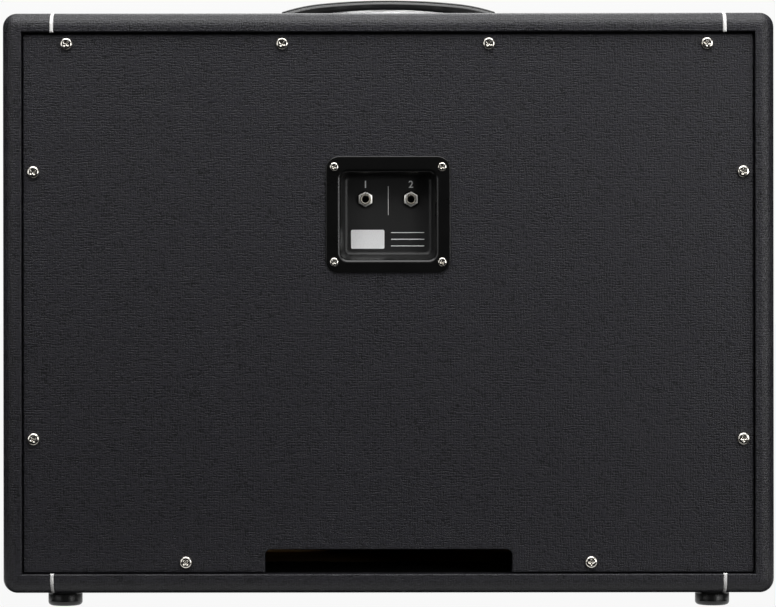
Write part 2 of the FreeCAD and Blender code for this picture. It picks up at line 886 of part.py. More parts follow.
def jack_frame(x):
    """Threaded bush on a bent plate: the sleeve contact of a jack, behind the floor of the dish."""
    bush_end = dish_floor_y + jack_washer_thickness + jack_nut_thickness + jack_bush_proud
    plate_y = dish_inside_y - jack_sheet
    arm_z = jack_z + jack_plate / 2
    bush = rod(jack_bush_diameter, Vec(x, plate_y, jack_z), Vec(x, bush_end, jack_z))
    plate = box(x - jack_plate / 2, x + jack_plate / 2, plate_y, dish_inside_y,
                jack_z - jack_plate / 2, arm_z + jack_sheet)
    arm = box(x - jack_arm_width / 2, x + jack_arm_width / 2, dish_inside_y - jack_arm_length, dish_inside_y,
              arm_z, arm_z + jack_sheet)
    bore = rod(jack_bore_diameter, Vec(x, plate_y - overrun, jack_z), Vec(x, bush_end + overrun, jack_z))
    frame = bush.fuse([plate, arm]).removeSplitter().cut(bore)
    return frame.makeChamfer(jack_bush_chamfer, edges_on_plane(frame, Y_AXIS, bush_end))


def jack_nuts():
    """A washer and a hexagon nut on each bush."""
    bore = jack_bush_diameter + 2 * jack_hole_gap
    ring = washer(jack_washer_diameter, bore, jack_washer_thickness)
    nut = hex_nut(jack_nut_flats, jack_nut_thickness, bore)
    pieces = []
    for name, x in jack_places():
        pieces.append(moved(ring, x, dish_floor_y, jack_z))
        pieces.append(moved(nut, x, dish_floor_y + jack_washer_thickness, jack_z))
    return pieces


def stack_place():
    """Y and Z ranges of the insulating stack on a jack's arm."""
    y0 = dish_inside_y - jack_arm_length
    z0 = jack_z + jack_plate / 2 + jack_sheet
    return y0, y0 + jack_stack_length, z0, z0 + jack_stack_height


def jack_insulators():
    """Fibre block on each arm, between the sleeve frame and the tip contact."""
    pieces = []
    for name, x in jack_places():
        y0, y1, z0, z1 = stack_place()
        pieces.append(box(x - jack_arm_width / 2, x + jack_arm_width / 2, y0, y1, z0, z1))
    return pieces


def tag_place(x, side):
    """Foot of a solder tag on a jack: the tip tag on one side of the stack, the sleeve tag on the other."""
    y0, y1, z0, z1 = stack_place()
    y = y0 + jack_stack_length * tag_shares[side]
    return Vec(x + side * (jack_arm_width - jack_tag_width) / 2, y, z1)


def jack_tags():
    """Solder tags that stand on the stacks."""
    pieces = []
    for name, x in jack_places():
        for side in SIDES:
            foot = tag_place(x, side)
            pieces.append(box(foot.x - jack_tag_width / 2, foot.x + jack_tag_width / 2,
                              foot.y, foot.y + jack_tag_thickness, foot.z, foot.z + jack_tag_height))
    return pieces


def contact_pivot(x):
    """Middle of the rolled root that a tip contact bends about."""
    y0, y1, z0, z1 = stack_place()
    return Vec(x, y0 - contact_root_gap - contact_root_diameter / 2, (z0 + z1) / 2)


def tip_contact(x):
    """Leaf spring of a jack: a rolled root, a straight leaf and a V-shaped nose beside the plug's tip."""
    pivot = contact_pivot(x)
    half = contact_thickness / 2
    nose_y = -contact_reach
    knee_y = nose_y * (1 - contact_nose_share)
    nose_z = jack_z + contact_tip_offset - pivot.z
    line = [
        (0, half),
        (knee_y, half),
        (nose_y, nose_z + half),
        (nose_y + knee_y * contact_nose_share, nose_z + contact_tip_rise + half),
    ]
    ring = pressed_sheet(line, -contact_thickness)
    points = [Vec(0, p[0], p[1]) for p in ring + ring[:1]]
    leaf = Part.Face(Part.makePolygon(points)).extrude(X_AXIS * contact_width)
    leaf = moved(leaf, pivot.x - contact_width / 2, pivot.y, pivot.z)
    half_width = X_AXIS * (contact_width / 2)
    return leaf.fuse(rod(contact_root_diameter, pivot - half_width, pivot + half_width))


# Strap handle


def end_arc(start, tangent, end):
    """Arc across Y that leaves a point along a tangent and ends at another point."""
    chord = end - start
    normal = tangent.cross(Y_AXIS).normalize()
    radius = chord.dot(chord) / (2 * chord.dot(normal))
    centre = start + normal * radius
    middle = (start - centre) + (end - centre)
    return Part.Arc(start, centre + middle.normalize() * abs(radius), end).toShape()


def arch_face(half_length, middle_low, end_low, middle_high, end_high):
    """Side view of an arched strip above the top panel, with steeper ends on its upper arc."""
    knee_x = half_length * grip_knee_share
    knee_z = top_z + middle_high - grip_knee_drop
    low = Part.Arc(Vec(-half_length, 0, top_z + end_low), Vec(0, 0, top_z + middle_low),
                   Vec(half_length, 0, top_z + end_low)).toShape()
    crown = Part.Arc(Vec(-knee_x, 0, knee_z), Vec(0, 0, top_z + middle_high),
                     Vec(knee_x, 0, knee_z)).toShape()
    slope = crown.tangentAt(crown.LastParameter)
    edges = [low, crown]
    for side in SIDES:
        foot = Vec(side * half_length, 0, top_z + end_low)
        head = Vec(side * half_length, 0, top_z + end_high)
        edges.append(end_arc(Vec(side * knee_x, 0, knee_z), Vec(side * slope.x, 0, slope.z), head))
        edges.append(Part.LineSegment(head, foot).toShape())
    return Part.Face(Part.Wire(Part.__sortEdges__(edges)))


def arched_strip(width, half_length, middle_low, end_low, middle_high, end_high):
    """Arched strip across Y."""
    face = arch_face(half_length, middle_low, end_low, middle_high, end_high)
    return moved(face, 0, -width / 2, 0).extrude(Y_AXIS * width)


def grip_strap(strap_top, end_top):
    """Strap of the grip with its long edges rounded."""
    strap = arched_strip(grip_width, grip_length / 2, grip_gap, grip_end_gap, strap_top, end_top)
    rims = edges_on_plane(strap, Y_AXIS, -grip_width / 2) + edges_on_plane(strap, Y_AXIS, grip_width / 2)
    return strap.makeFillet(grip_round, [edge for edge in rims if isinstance(edge.Curve, Part.Circle)])


def grip_pad(strap_top, end_top):
    """Pad that follows the strap's top and stands above it, rounded all over."""
    sink = grip_end_thickness / 2
    strip = arched_strip(grip_pad_width, grip_length / 2, strap_top - sink, end_top - sink,
                         strap_top + grip_pad_thickness, end_top + grip_pad_thickness)
    half_length = grip_length / 2 - grip_pad_inset
    pad = strip.common(box(-half_length, half_length, -grip_width, grip_width, top_z, top_z + cap_spacing))
    return pad.makeFillet(grip_pad_round, pad.Edges)


def handle_grip():
    """Moulded grip: an arched strap with a raised pad along its top."""
    strap_top = grip_gap + grip_thickness
    end_top = grip_end_gap + grip_end_thickness
    return grip_strap(strap_top, end_top).fuse(grip_pad(strap_top, end_top)).removeSplitter()


def tongue_levels():
    """Height above the top panel of the flat end of a tongue, and of its root in the grip's end."""
    flat = cap_floor
    root = grip_end_gap + (grip_end_thickness - tongue_thickness) / 2
    return flat, root


def handle_tongues():
    """Flexible ends of the strap, bent down into the caps, with a slot for the bolt."""
    flat, root = tongue_levels()
    start = grip_length / 2
    mouth = cap_spacing / 2 - cap_length / 2
    end = cap_spacing / 2 + cap_length / 2 - tongue_end_gap
    line = [(start, root), (mouth - tongue_bend, flat), (end, flat)]
    ring = pressed_sheet(line, -tongue_thickness)
    points = [Vec(p[0], 0, top_z + p[1]) for p in ring + ring[:1]]
    tongue = Part.Face(Part.makePolygon(points)).extrude(Y_AXIS * tongue_width)
    tongue = moved(tongue, 0, -tongue_width / 2, 0)
    tongue = tongue.cut(box(0, start, -tongue_width, tongue_width, top_z, top_z + cap_spacing))
    bolt_x = cap_spacing / 2
    half_slot = tongue_slot_length / 2
    half_width = handle_bolt_diameter / 2 + screw_clearance
    slot = rounded_block(bolt_x - half_slot, bolt_x + half_slot, -half_width, half_width,
                         top_z - overrun, top_z + cap_height, half_width * slot_round_share, Z_AXIS)
    tongue = tongue.cut(slot)
    return [tongue, turned(tongue, Z_AXIS, 180)]


def handle_caps():
    """End caps with a pocket for the tongue and a hole for the bolt."""
    middle = cap_spacing / 2
    x0 = middle - cap_length / 2
    x1 = middle + cap_length / 2
    cap = rounded_block(x0, x1, -cap_width / 2, cap_width / 2, top_z, top_z + cap_height, cap_corner, Z_AXIS)
    cap = cap.makeFillet(cap_round, edges_on_plane(cap, Z_AXIS, top_z + cap_height))
    half_pocket = tongue_width / 2 + tongue_gap
    pocket_top = cap_floor + tongue_thickness + tongue_gap
    pocket = box(x0 - overrun, x1 - tongue_end_gap + tongue_gap, -half_pocket, half_pocket,
                 top_z + cap_floor - tongue_gap, top_z + pocket_top)
    hole = rod(handle_bolt_diameter + 2 * screw_clearance, Vec(middle, 0, top_z - overrun),
               Vec(middle, 0, top_z + cap_height + overrun))
    recess = rod(handle_bolt_head_diameter + 2 * screw_clearance,
                 Vec(middle, 0, top_z + cap_height - handle_bolt_head_height),
                 Vec(middle, 0, top_z + cap_height + overrun))
    cap = cap.cut([pocket, hole, recess])
    return [cap, turned(cap, Z_AXIS, 180)]


def handle_fasteners():
    """A bolt down through each cap, and a tee nut under the top panel."""
    head_z = top_z + cap_height - handle_bolt_head_height
    bolt = turned(screw(handle_bolt_head_diameter, handle_bolt_head_height, handle_bolt_diameter,
                        handle_bolt_length, handle_bolt_diameter / 2), X_AXIS, 90)
    bore = handle_bolt_diameter + 2 * screw_clearance
    flange = washer(tee_nut_flange_diameter, bore, tee_nut_flange)
    barrel = washer(tee_nut_barrel_diameter, bore, tee_nut_flange + tee_nut_barrel_length)
    nut = turned(flange.fuse(barrel).removeSplitter(), X_AXIS, 90)
    pieces = []
    for side in SIDES:
        x = side * cap_spacing / 2
        pieces.append(moved(bolt, x, 0, head_z))
        pieces.append(moved(nut, x, 0, inner_top_z - tee_nut_flange))
    return pieces


# Grille


def grille_half_sizes():
    """Half width and half height of the grille."""
    return opening_width / 2 - grille_gap, opening_height / 2 - grille_gap


def grille_frame():
    """Two rails, two stiles and a middle stile under the cloth."""
    half_width, half_height = grille_half_sizes()
    y0 = grille_frame_y
    y1 = grille_pad_y
    strips = []
    for side in SIDES:
        z_pair = sorted((middle_z + side * half_height, middle_z + side * (half_height - grille_rail)))
        strips.append(box(-half_width, half_width, y0, y1, z_pair[0], z_pair[1]))
        x_pair = sorted((side * half_width, side * (half_width - grille_rail)))
        strips.append(box(x_pair[0], x_pair[1], y0, y1, middle_z - half_height + grille_rail,
                          middle_z + half_height - grille_rail))
    strips.append(box(-grille_rail / 2, grille_rail / 2, y0, y1, middle_z - half_height + grille_rail,
                      middle_z + half_height - grille_rail))
    return strips


def grille_cloth():
    """Woven cloth stretched over the front of the grille frame."""
    half_width, half_height = grille_half_sizes()
    return box(-half_width, half_width, cloth_y, grille_frame_y,
               middle_z - half_height, middle_z + half_height)


def grille_pads():
    """Hook-and-loop pads that hold the grille to the baffle, the outer ones beside its end screws."""
    half_height = grille_half_sizes()[1]
    screw_x = max(x for x, z in baffle_screw_places())
    outer_x = screw_x - baffle_screw_head_diameter / 2 - grille_pad_gap - grille_pad_length / 2
    pads = []
    for side in SIDES:
        z = middle_z + side * (half_height - grille_rail / 2)
        for x in (-outer_x, 0, outer_x):
            pads.append(box(x - grille_pad_length / 2, x + grille_pad_length / 2,
                            grille_pad_y, baffle_front_y,
                            z - grille_pad_width / 2, z + grille_pad_width / 2))
    return pads


def grille_piping():
    """White bead round the edge of the cloth."""
    half_width, half_height = grille_half_sizes()
    reach_x = half_width - grille_piping_diameter / 2
    reach_z = half_height - grille_piping_diameter / 2
    y = cloth_y - grille_piping_diameter / 2
    block = rounded_block(-reach_x, reach_x, y, y + overrun, middle_z - reach_z, middle_z + reach_z,
                          grille_piping_corner, Y_AXIS)
    path = Part.Wire(Part.__sortEdges__(edges_on_plane(block, Y_AXIS, y)))
    first = path.OrderedEdges[0]
    start = first.valueAt(first.FirstParameter)
    return tube_on(path, grille_piping_diameter, start, first.tangentAt(first.FirstParameter))


# Baffle


def baffle_cleat_strips():
    """Battens behind the edges of the baffle: X, then Z ranges."""
    half_width = inner_width / 2
    low_z = inner_bottom_z + baffle_cleat_width
    high_z = inner_top_z - baffle_cleat_width
    strips = [
        (-half_width, half_width, inner_bottom_z, low_z),
        (-half_width, half_width, high_z, inner_top_z),
    ]
    for side in SIDES:
        x_pair = sorted((side * half_width, side * (half_width - baffle_cleat_width)))
        strips.append((x_pair[0], x_pair[1], low_z, high_z))
    return strips


def baffle_screw_places():
    """X and Z of the screws through the baffle into its top and bottom cleats."""
    reach = inner_height / 2 - baffle_cleat_width / 2
    places = []
    for share in baffle_screw_shares:
        for side in SIDES:
            places.append((share * inner_width / 2, middle_z + side * reach))
    return places


def baffle_screw_holes():
    """Holes for the baffle screws, a little deeper than their points, with room for the heads."""
    diameter = baffle_screw_diameter + 2 * screw_clearance
    head = baffle_screw_head_diameter + 2 * screw_clearance
    seat_y = baffle_front_y + baffle_screw_head_height
    end_y = seat_y + baffle_screw_length + screw_clearance
    holes = []
    for x, z in baffle_screw_places():
        holes.append(rod(diameter, Vec(x, front_y, z), Vec(x, end_y, z)))
        holes.append(rod(head, Vec(x, front_y, z), Vec(x, seat_y, z)))
    return holes


def baffle_cleats():
    """Battens that the baffle is screwed to."""
    y1 = baffle_rear_y + baffle_cleat_depth
    holes = baffle_screw_holes()
    return [box(s[0], s[1], baffle_rear_y, y1, s[2], s[3]).cut(holes) for s in baffle_cleat_strips()]


def baffle_screws():
    """Screws through the baffle, heads sunk in its front."""
    body = turned(screw(baffle_screw_head_diameter, baffle_screw_head_height, baffle_screw_diameter,
                        baffle_screw_length, baffle_screw_point), Z_AXIS, 180)
    seat_y = baffle_front_y + baffle_screw_head_height
    return [moved(body, x, seat_y, z) for x, z in baffle_screw_places()]


def chassis_bolt_angles():
    """Angles of a driver's bolts from +X towards +Z, in degrees."""
    return [chassis_bolt_angle + 360 / chassis_bolt_count * i for i in range(chassis_bolt_count)]


def driver_bolt_places():
    """X and Z of the bolts of both drivers."""
    places = []
    for side in SIDES:
        for degrees in chassis_bolt_angles():
            angle = math.radians(degrees)
            places.append((side * driver_spacing / 2 + chassis_bolt_circle / 2 * math.cos(angle),
                           middle_z + chassis_bolt_circle / 2 * math.sin(angle)))
    return places


def driver_bolt_holes():
    """Clearance holes for the driver bolts, through baffle, gasket and chassis."""
    diameter = driver_bolt_diameter + 2 * driver_bolt_hole_gap
    end_y = baffle_rear_y + gasket_thickness + chassis_sheet + overrun
    return [rod(diameter, Vec(x, front_y, z), Vec(x, end_y, z)) for x, z in driver_bolt_places()]


def baffle_board():
    """Board across the front of the shell with a round hole for each driver."""
    half_width = inner_width / 2 - baffle_gap
    half_height = inner_height / 2 - baffle_gap
    board = box(-half_width, half_width, baffle_front_y, baffle_rear_y,
                middle_z - half_height, middle_z + half_height)
    holes = [
        rod(driver_hole_diameter, Vec(side * driver_spacing / 2, front_y, middle_z),
            Vec(side * driver_spacing / 2, 0, middle_z))
        for side in SIDES
    ]
    return board.cut(holes + driver_bolt_holes() + baffle_screw_holes())


def driver_fasteners():
    """Bolts through the baffle and nuts behind the chassis flange."""
    flange_y = baffle_rear_y + gasket_thickness + chassis_sheet
    length = flange_y + driver_nut_thickness + driver_bolt_proud - baffle_front_y
    bolt = turned(screw(driver_bolt_head_diameter, driver_bolt_head_height, driver_bolt_diameter, length,
                        driver_bolt_diameter / 2), Z_AXIS, 180)
    nut = hex_nut(driver_nut_flats, driver_nut_thickness, driver_bolt_diameter + 2 * screw_clearance)
    pieces = []
    for x, z in driver_bolt_places():
        pieces.append(moved(bolt, x, baffle_front_y, z))
        pieces.append(moved(nut, x, flange_y, z))
    return pieces


# Driver, about its own axis with the baffle's rear face at zero and depth towards +Y


def at_driver(shape, side):
    """Copy of a driver piece at its place behind the baffle."""
    return moved(shape, side * driver_spacing / 2, baffle_rear_y, middle_z)


def cone_depth_at(radius):
    """Depth of the cone's front face at a radius."""
    return cone_edge_depth + cone_depth * (cone_radius - radius) / (cone_radius - former_radius)


def chassis_line():
    """Front line of the pressed chassis, from the rim of its flange in to its throat."""
    return [
        (chassis_radius, gasket_thickness),
        (flange_inner_radius, gasket_thickness),
        (flange_inner_radius - chassis_step_draft, gasket_thickness + chassis_step_depth),
        (ledge_outer_radius, chassis_ledge_depth),
        (ledge_inner_radius, chassis_ledge_depth),
        (neck_radius, chassis_depth - chassis_sheet),
        (throat_radius, chassis_depth - chassis_sheet),
    ]


def chassis_bolt_holes():
    """Clearance holes for one driver's bolts, through gasket and flange."""
    diameter = driver_bolt_diameter + 2 * driver_bolt_hole_gap
    reach = chassis_bolt_circle / 2
    hole = rod(diameter, Vec(reach, -overrun, 0), Vec(reach, chassis_step_depth, 0))
    return [around(hole, degrees) for degrees in chassis_bolt_angles()]


def driver_chassis(terminal_angle):
    """Pressed steel basket with windows between its spokes and bolt holes in its flange."""
    line = chassis_line()
    basket = lathe(closed_face(*pressed_sheet(line, chassis_sheet)))
    rim_point, ledge_point = line[2], line[3]
    run = (ledge_point[0] - rim_point[0], ledge_point[1] - rim_point[1])
    length = math.hypot(run[0], run[1])
    normal = (run[1] / length * window_cut_depth, -run[0] / length * window_cut_depth)
    shares = (window_rim_margin / length, 1 - window_ledge_margin / length)
    ends = [(rim_point[0] + run[0] * s, rim_point[1] + run[1] * s) for s in shares]
    corners = []
    for end, sides in zip(ends, (SIDES, SIDES[::-1])):
        for side in sides:
            corners.append((end[0] + side * normal[0], end[1] + side * normal[1]))
    window = lathe(closed_face(*corners), window_angle)
    cuts = []
    for i in range(window_count):
        cuts.append(around(window, terminal_angle + 360 / window_count * i + window_angle / 2))
    return basket.cut(cuts + chassis_bolt_holes())


def driver_gasket():
    """Ring between the chassis flange and the baffle."""
    ring = washer(chassis_diameter, chassis_diameter - 2 * gasket_width, gasket_thickness)
    return ring.cut(chassis_bolt_holes())


def driver_surround():
    """Corrugated paper edge between the cone and the chassis flange."""
    depth = cone_edge_depth
    steps = wave_steps(cone_radius, land_inner_radius, depth, surround_wave, surround_wave_count)
    return sheet_lathe(surround_sheet, (cone_radius, depth), *steps, (land_outer_radius, depth))


def driver_cone():
    """Straight-sided paper cone from the coil former to the surround."""
    return sheet_lathe(cone_sheet, (former_radius, cone_apex_depth), (cone_radius, cone_edge_depth))


def driver_dust_cap():
    """Dome over the middle of the cone."""
    radius = cap_diameter / 2
    foot = cone_depth_at(radius) - cap_sheet
    sphere = (radius * radius + cap_rise * cap_rise) / (2 * cap_rise)
    half_angle = math.asin(radius / sphere) / 2
    crest = (sphere * math.sin(half_angle), foot - cap_rise + sphere * (1 - math.cos(half_angle)))
    return sheet_lathe(cap_sheet, (radius, foot), (crest, (0, foot - cap_rise)))


def driver_voice_coil():
    """Coil former and its winding, centred on the magnet gap."""
    gap_middle = chassis_depth + plate_thickness / 2
    winding_start = gap_middle - winding_length / 2
    winding_end = gap_middle + winding_length / 2
    former = lathe(closed_face(
        (coil_radius, cone_apex_depth - former_front), (former_radius, cone_apex_depth - former_front),
        (former_radius, winding_end + former_tail), (coil_radius, winding_end + former_tail)))
    winding = lathe(closed_face(
        (former_radius, winding_start), (winding_radius, winding_start),
        (winding_radius, winding_end), (former_radius, winding_end)))
    return [former, winding]


def driver_spider():
    """Corrugated cloth disc that centres the coil former on the chassis ledge."""
    depth = chassis_ledge_depth - spider_sheet
    land = ledge_inner_radius - spider_ledge_gap
    steps = wave_steps(former_radius, land, depth, spider_wave, spider_wave_count)
    return sheet_lathe(spider_sheet, (former_radius, depth), *steps, (ledge_outer_radius, depth))


def driver_top_plate():
    """Steel ring in front of the magnet, round the coil gap."""
    radius = plate_diameter / 2
    return lathe(closed_face((gap_radius, chassis_depth), (radius, chassis_depth),
                             (radius, magnet_front_depth), (gap_radius, magnet_front_depth)))


def driver_magnet():
    """Ceramic ring magnet."""
    return lathe(closed_face((magnet_bore / 2, magnet_front_depth), (magnet_diameter / 2, magnet_front_depth),
                             (magnet_diameter / 2, magnet_rear_depth), (magnet_bore / 2, magnet_rear_depth)))


def driver_yoke():
    """Back plate and vented pole piece."""
    pole_radius = coil_radius - motor_gap
    pole_front = chassis_depth - pole_proud
    plate_radius = plate_diameter / 2
    vent = pole_vent_diameter / 2
    end = magnet_rear_depth + plate_thickness
    return lathe(closed_face(
        (vent, pole_front), (pole_radius, pole_front), (pole_radius, magnet_rear_depth),
        (plate_radius, magnet_rear_depth), (plate_radius, end), (vent, end)))


def terminal_reach():
    """Radii of the two ends of a terminal board, and the depth of its front face."""
    start = ledge_outer_radius - terminal_overlap
    return start, start + terminal_length, chassis_ledge_depth + chassis_sheet


def lug_place(side):
    """Middle of a lug's rear face about the driver axis, before it is turned to the terminal angle."""
    start, end, depth = terminal_reach()
    return Vec(end - lug_inset + lug_length / 2, depth + terminal_sheet + lug_sheet, side * lug_spacing / 2)


def driver_terminals():
    """Fibre board on the back of the chassis ledge with two push-on lugs."""
    start, end, depth = terminal_reach()
    board = box(start, end, depth, depth + terminal_sheet, -terminal_width / 2, terminal_width / 2)
    pieces = [board]
    for side in SIDES:
        lug = lug_place(side)
        pieces.append(box(lug.x - lug_length / 2, lug.x + lug_length / 2, lug.y - lug_sheet, lug.y,
                          lug.z - lug_width / 2, lug.z + lug_width / 2))
    return pieces


def driver_tinsel():
    """Two flexible leads from the terminal board through a window to the back of the cone."""
    start, end, depth = terminal_reach()
    radius = end - tinsel_inset
    land = former_radius + (cone_radius - former_radius) * tinsel_land_share
    slope = cone_depth / (cone_radius - former_radius)
    land_depth = cone_depth_at(land) + cone_sheet + slope * tinsel_diameter / 2
    leads = []
    for side in SIDES:
        z = side * lug_spacing / 2
        points = [
            Vec(radius, depth, z),
            Vec(radius, depth - tinsel_run, z),
            Vec(land, land_depth + tinsel_run, z),
            Vec(land, land_depth, z),
        ]
        leads.append(wire_tube("tinsel", points, tinsel_diameter))
    return leads


# Wiring


def lug_point(driver_side, lug_side):
    """Rear face of a driver's lug in the cabinet."""
    turned_place = around(Part.Vertex(lug_place(lug_side)), terminal_angles[driver_side])
    return at_driver(turned_place, driver_side).Point


def speaker_wire(jack_x, driver_side, polarity):
    """Wire from a solder tag of a jack to a lug of a driver, with a little sag."""
    tag = tag_place(jack_x, polarity)
    start = Vec(tag.x, tag.y, tag.z + jack_tag_height - wire_diameter)
    end = lug_point(driver_side, -polarity)
    leave = start - Y_AXIS * wire_start_run
    arrive = end + Y_AXIS * wire_end_run
    sag = Z_AXIS * (wire_sag - polarity * driver_side * wire_pair_gap / 2)
    middle = leave + (arrive - leave) * wire_middle_share - sag
    return wire_tube("wire", [start, leave, middle, arrive, end], wire_diameter)


def jumper_wire(polarity):
    """Link between the same tags of the two jacks, so that they are in parallel."""
    lift = Vec(0, jack_tag_thickness / 2, jack_tag_height)
    start, end = [tag_place(x, polarity) + lift for name, x in jack_places()]
    rise = Z_AXIS * jumper_rise
    return wire_tube("jumper", [start, start + rise, end + rise, end], wire_diameter)


def wires(polarity):
    """All wires of one polarity."""
    pieces = []
    for (name, x), side in zip(jack_places(), (1, -1)):
        pieces.append(speaker_wire(x, side, polarity))
    pieces.append(jumper_wire(polarity))
    return pieces


# Assembly


def driver_nodes(label, side):
    """Named pieces of one driver."""
    angle = terminal_angles[side]
    return {
        label + "_driver_chassis": [driver_chassis(angle)],
        label + "_driver_surround": [driver_surround()],
        label + "_driver_cone": [driver_cone()],
        label + "_driver_dust_cap": [driver_dust_cap()],
        label + "_driver_voice_coil": driver_voice_coil(),
        label + "_driver_spider": [driver_spider()],
        label + "_driver_terminals": [around(piece, angle) for piece in driver_terminals()],
        label + "_driver_tinsel_leads": [around(piece, angle) for piece in driver_tinsel()],
    }


def all_nodes():
    """Every node of the cabinet with its solids."""
    nodes = {}
    for name, shape in shell_panels().items():
        nodes[name] = [shape]
    for name, shape in shell_coverings().items():
        nodes[name] = [shape]
    nodes["seam_piping"] = seam_piping()
    nodes["rubber_feet"] = rubber_feet()
    nodes["foot_fasteners"] = foot_fasteners()
    for name, shape in back_panel_pieces().items():
        nodes[name] = [shape]
    nodes["back_cleats"] = back_cleats()
    nodes["back_panel_screws"] = back_panel_screws()
    nodes["jack_dish"] = [jack_dish()]
    nodes["jack_dish_screws"] = dish_screws()
    for name, x in jack_places():
        nodes[name + "_jack_frame"] = [jack_frame(x)]
        nodes[name + "_tip_contact"] = [tip_contact(x)]
    nodes["jack_nuts"] = jack_nuts()
    nodes["jack_insulators"] = jack_insulators()
    nodes["jack_solder_tags"] = jack_tags()
    nodes["handle_grip"] = [handle_grip()]
    nodes["handle_tongues"] = handle_tongues()
    nodes["handle_end_caps"] = handle_caps()
    nodes["handle_fasteners"] = handle_fasteners()
    nodes["grille_cloth"] = [grille_cloth()]
    nodes["grille_frame"] = grille_frame()
    nodes["grille_pads"] = grille_pads()
    nodes["grille_piping"] = [grille_piping()]
    nodes["baffle_board"] = [baffle_board()]
    nodes["baffle_cleats"] = baffle_cleats()
    nodes["baffle_screws"] = baffle_screws()
    nodes["driver_fasteners"] = driver_fasteners()
    nodes["driver_gaskets"] = [at_driver(driver_gasket(), side) for side in SIDES]
    nodes["driver_top_plates"] = [at_driver(driver_top_plate(), side) for side in SIDES]
    nodes["driver_magnets"] = [at_driver(driver_magnet(), side) for side in SIDES]
    nodes["driver_yokes"] = [at_driver(driver_yoke(), side) for side in SIDES]
    for label, side in (("left", -1), ("right", 1)):
        for name, pieces in driver_nodes(label, side).items():
            nodes[name] = [at_driver(piece, side) for piece in pieces]
    nodes["red_wires"] = wires(1)
    nodes["black_wires"] = wires(-1)
    return nodes


def main():
    """Writes one STEP file for each node."""
    os.makedirs("parts", exist_ok=True)
    for name, pieces in all_nodes().items():
        solids = [solid for piece in pieces for solid in piece.Solids]
        shape = solids[0] if len(solids) == 1 else Part.makeCompound(solids)
        if not shape.isValid():
            print("not valid:", name)
        shape.exportStep("parts/" + name + ".step")


main()
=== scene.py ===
"""Looks of a guitar speaker cabinet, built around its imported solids.

Metres, +Z up. The back with the jack dish faces +Y and the grille faces -Y. The origin is on the floor.
"""

import json
import math
import random

import bpy
from mathutils import Matrix, Vector

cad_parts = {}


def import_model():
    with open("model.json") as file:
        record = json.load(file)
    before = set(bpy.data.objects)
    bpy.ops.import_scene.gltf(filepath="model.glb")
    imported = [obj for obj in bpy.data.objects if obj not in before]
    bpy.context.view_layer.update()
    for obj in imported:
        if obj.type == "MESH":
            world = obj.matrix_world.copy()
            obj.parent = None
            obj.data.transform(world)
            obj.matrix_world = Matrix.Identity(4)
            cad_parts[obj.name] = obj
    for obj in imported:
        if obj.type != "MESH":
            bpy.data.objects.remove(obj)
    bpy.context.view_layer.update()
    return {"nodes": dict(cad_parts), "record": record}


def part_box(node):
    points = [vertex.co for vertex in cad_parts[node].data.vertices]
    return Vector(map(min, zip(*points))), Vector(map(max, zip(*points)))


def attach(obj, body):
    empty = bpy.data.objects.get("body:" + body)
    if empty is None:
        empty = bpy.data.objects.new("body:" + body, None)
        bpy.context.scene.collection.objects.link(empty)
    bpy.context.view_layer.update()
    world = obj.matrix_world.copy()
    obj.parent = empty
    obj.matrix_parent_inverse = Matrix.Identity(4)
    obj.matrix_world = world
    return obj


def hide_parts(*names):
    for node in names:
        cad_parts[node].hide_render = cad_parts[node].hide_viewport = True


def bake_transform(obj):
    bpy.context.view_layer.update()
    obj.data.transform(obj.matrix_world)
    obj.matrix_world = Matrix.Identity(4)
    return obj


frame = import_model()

MM = 0.001
FACING_BACK = Matrix(((-1, 0, 0), (0, 0, 1), (0, 1, 0)))
WHITE = (0.957, 0.957, 0.957, 1.0)

# Places in the CAD model
dish_floor_y = 0.1235
satin_start_y = 0.1420
satin_full_y = 0.1370
jack_x = 0.0205
numeral_z = 0.3782
top_z = 0.534
grip_end_x = 0.106
tongue_level_x = 0.119
tongue_end_x = 0.157
bolt_slot_start_x = 0.137
bolt_slot_end_x = 0.153

random.seed(12)


# Node helpers


